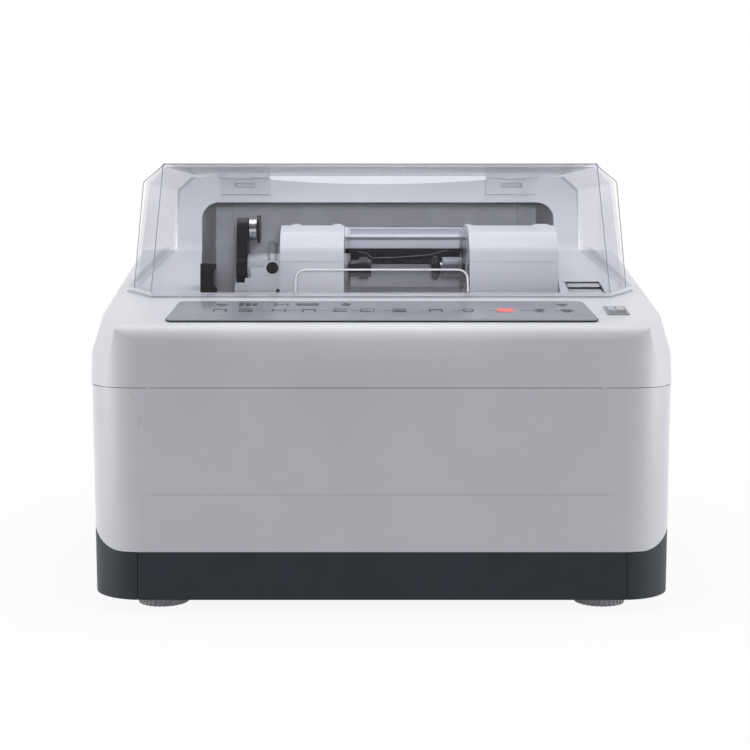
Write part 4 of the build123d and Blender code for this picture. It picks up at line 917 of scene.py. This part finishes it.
def switch_marks():
    """The bar and the ring that say on and off, on the rocker's two faces."""
    half_throw, face_lean = radians(8.0), radians(8.5)
    middle = Matrix.Translation((switch_x, switch_y, deck_height(switch_y)))
    paddle = middle @ Matrix.Rotation(deck_angle - half_throw, 4, "X")
    for side, kind in ((1, "on"), (-1, "off")):
        if kind == "on":
            mark = plate(1.2 * MM, 4.2 * MM, 0, 0, 0.3 * MM)
        else:
            mark = hollow_out(disc(24, 2.1 * MM, 0, 0), 0.6 * MM)
        mark = thicken(mark, 0.1 * MM)
        place = Matrix.Translation(mm(0, side * 5.0, 2.36))
        face = paddle @ place @ Matrix.Rotation(side * face_lean, 4, "X")
        settle(mark, f"switch_mark_{kind}", INK, "rocker", face)


def fluted_feet():
    """Moulded feet with upright flutes round the rim, in place of the plain discs."""
    flutes, middle_z = 32, 5.8 * MM
    groove, dish = 0.94, 1.08
    points = 4 * flutes
    deselect()
    bpy.ops.mesh.primitive_cylinder_add(
        vertices=points, radius=22.4 * MM, depth=10.6 * MM, location=(0, 0, middle_z)
    )
    model = bpy.context.object
    bpy.ops.object.transform_apply(location=True, rotation=True, scale=True)
    edit(model)
    # Two points of every four are drawn in, which makes the grooves.
    pick_vertices(model, lambda place: round(points * atan2(place.y, place.x) / (2 * pi)) % 4 < 2)
    bpy.ops.transform.resize(value=(groove, groove, 1), center_override=(0, 0, middle_z))
    bpy.ops.mesh.select_mode(type="FACE")
    pick_faces(model, lambda centre, n: abs(n.z) > 0.99)
    bpy.ops.mesh.inset(thickness=1.6 * MM)
    bpy.ops.transform.resize(value=(1, 1, dish), center_override=(0, 0, middle_z))
    leave_edit(25)
    for node in ("foot_front_left", "foot_rear_left", "foot_front_right", "foot_rear_right"):
        low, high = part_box(node)
        middle = (low + high) / 2
        twin = copy_of(model)
        aim = Matrix.Translation((middle.x, middle.y, 0))
        settle(twin, f"fluted_{node}", FINISHES["foot_rubber"], "chassis", aim)
        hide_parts(node)
    bpy.data.objects.remove(model)


dress_nodes()
panel_pictograms()
panel_lamp()
panel_foot_shade_frame()
hinge_slots()
grip_highlight_bead()
lid_bends()
flange_edges()
tray_rails()
head_feelers()
rear_screws()
switch_marks()
fluted_feet()


# ------------------------------------------------------- floor, light, camera


def either(tree, first, *others):
    """The largest of some of a light path's answers."""
    for other in others:
        first = add(tree, "ShaderNodeMath", {"operation": "MAXIMUM"}, i0=first, i1=other).outputs["Value"]
    return first


def white_room():
    """World: soft ambient light, plain white where it is looked at.

    What lies ahead of the machine shines dimmer in its gloss, as the dark end of a studio does.
    """
    world = bpy.data.worlds.new("white_room")
    bpy.context.scene.world = world
    world.use_nodes = True
    tree = world.node_tree
    tree.nodes.clear()
    path = add(tree, "ShaderNodeLightPath").outputs
    direction = add(tree, "ShaderNodeTexCoord").outputs["Generated"]
    back = add(tree, "ShaderNodeSeparateXYZ", Vector=direction).outputs["Y"]
    level = add(
        tree,
        "ShaderNodeMapRange",
        Value=back,
        From_Min=-0.9,
        From_Max=0.2,
        To_Min=0.12,
        To_Max=1.0,
    )
    ambient = add(tree, "ShaderNodeBackground", Color=colour("F0F1F6"), Strength=0.29)
    mirrored = add(tree, "ShaderNodeBackground", Color=(1, 1, 1, 1), Strength=level.outputs["Result"])
    white = add(tree, "ShaderNodeBackground", Color=(1, 1, 1, 1), Strength=1.0)
    lit = add(
        tree,
        "ShaderNodeMixShader",
        i0=path["Is Glossy Ray"],
        i1=ambient.outputs["Background"],
        i2=mirrored.outputs["Background"],
    )
    seen = either(tree, path["Is Camera Ray"], path["Is Transmission Ray"])
    mix = add(
        tree,
        "ShaderNodeMixShader",
        i0=seen,
        i1=lit.outputs["Shader"],
        i2=white.outputs["Background"],
    )
    add(tree, "ShaderNodeOutputWorld", Surface=mix.outputs["Shader"])


def pale_floor():
    """Pale floor that fades to plain white away from the machine and keeps its shadow."""
    deselect()
    bpy.ops.mesh.primitive_plane_add(size=60, location=(0, 0, 0))
    floor = bpy.context.object
    floor.name = "floor"
    made = bpy.data.materials.new("pale_floor")
    made.use_nodes = True
    tree = made.node_tree
    tree.nodes.clear()
    path = add(tree, "ShaderNodeLightPath").outputs
    seen = either(tree, path["Is Camera Ray"], path["Is Glossy Ray"])
    lit, looked_at = colour("C6C7CA"), colour("F8F8FA")
    tone = add(tree, "ShaderNodeMix", {"data_type": "RGBA"}, i0=seen, i6=lit, i7=looked_at)
    matt = add(tree, "ShaderNodeBsdfDiffuse", Color=tone.outputs[2])
    white = add(tree, "ShaderNodeEmission", Color=(1, 1, 1, 1), Strength=1.0)
    place = add(tree, "ShaderNodeTexCoord").outputs["Object"]
    away = add(tree, "ShaderNodeVectorMath", {"operation": "LENGTH"}, i0=place)
    fade = add(
        tree,
        "ShaderNodeMapRange",
        Value=away.outputs["Value"],
        From_Min=0.3,
        From_Max=0.9,
        To_Min=0.92,
        To_Max=1.0,
    )
    share = add(tree, "ShaderNodeMath", {"operation": "MULTIPLY"}, i0=seen, i1=fade.outputs["Result"])
    mix = add(
        tree,
        "ShaderNodeMixShader",
        i0=share.outputs["Value"],
        i1=matt.outputs["BSDF"],
        i2=white.outputs["Emission"],
    )
    add(tree, "ShaderNodeOutputMaterial", Surface=mix.outputs["Shader"])
    floor.data.materials.append(made)


def aimed_lamp(data, place, aim):
    """Put a lamp at a place, looking at a point."""
    lamp = bpy.data.objects.new(data.name, data)
    bpy.context.scene.collection.objects.link(lamp)
    lamp.location = place
    lamp.rotation_euler = (Vector(aim) - Vector(place)).to_track_quat("-Z", "Y").to_euler()
    return lamp


def softbox(name, place, aim, width, height, power):
    """Flat lamp of a given size and power."""
    data = bpy.data.lights.new(name, "AREA")
    data.shape = "RECTANGLE"
    data.size = width
    data.size_y = height
    data.energy = power
    return aimed_lamp(data, place, aim)


def slot_light(name, place, aim, half_width, half_height, power):
    """Soft-edged beam of a given half width and height at the point it looks at."""
    data = bpy.data.lights.new(name, "SPOT")
    data.energy = power
    data.spot_size = 2 * atan2(half_width, (Vector(aim) - Vector(place)).length)
    data.spot_blend = 0.6
    data.shadow_soft_size = 0.06
    lamp = aimed_lamp(data, place, aim)
    lamp.scale = (1, half_height / half_width, 1)
    lamp.visible_glossy = False


def studio_lights():
    """Large soft boxes above and at the sides, and a low beam that looks into the chamber."""
    middle = (0, 0, 0.25)
    softbox("overhead", (0, -0.1, 1.6), middle, 1.8, 1.0, 13)
    softbox("left_side", (-1.5, -0.45, 0.35), middle, 0.8, 1.0, 10)
    softbox("right_side", (1.5, -0.45, 0.35), middle, 0.8, 1.0, 10)
    slot_light("chamber_fill", (0, -1.5, 0.35), (0, 0.0, 0.337), 0.31, 0.095, 40)


def camera():
    """Level camera, shifted so that the vanishing point lies where the photograph has it."""
    data = bpy.data.cameras.new("camera")
    data.sensor_width = sensor_width
    data.lens = focal_pixels / image_size * sensor_width
    data.shift_x = (image_size / 2 - vanishing_column) / image_size
    data.shift_y = (horizon_row - image_size / 2) / image_size
    eye = bpy.data.objects.new("camera", data)
    bpy.context.scene.collection.objects.link(eye)
    eye.location = camera_place
    eye.rotation_euler = (pi / 2, 0, 0)
    bpy.context.scene.camera = eye


white_room()
pale_floor()
studio_lights()
camera()
bpy.context.scene.view_settings.view_transform = "Standard"
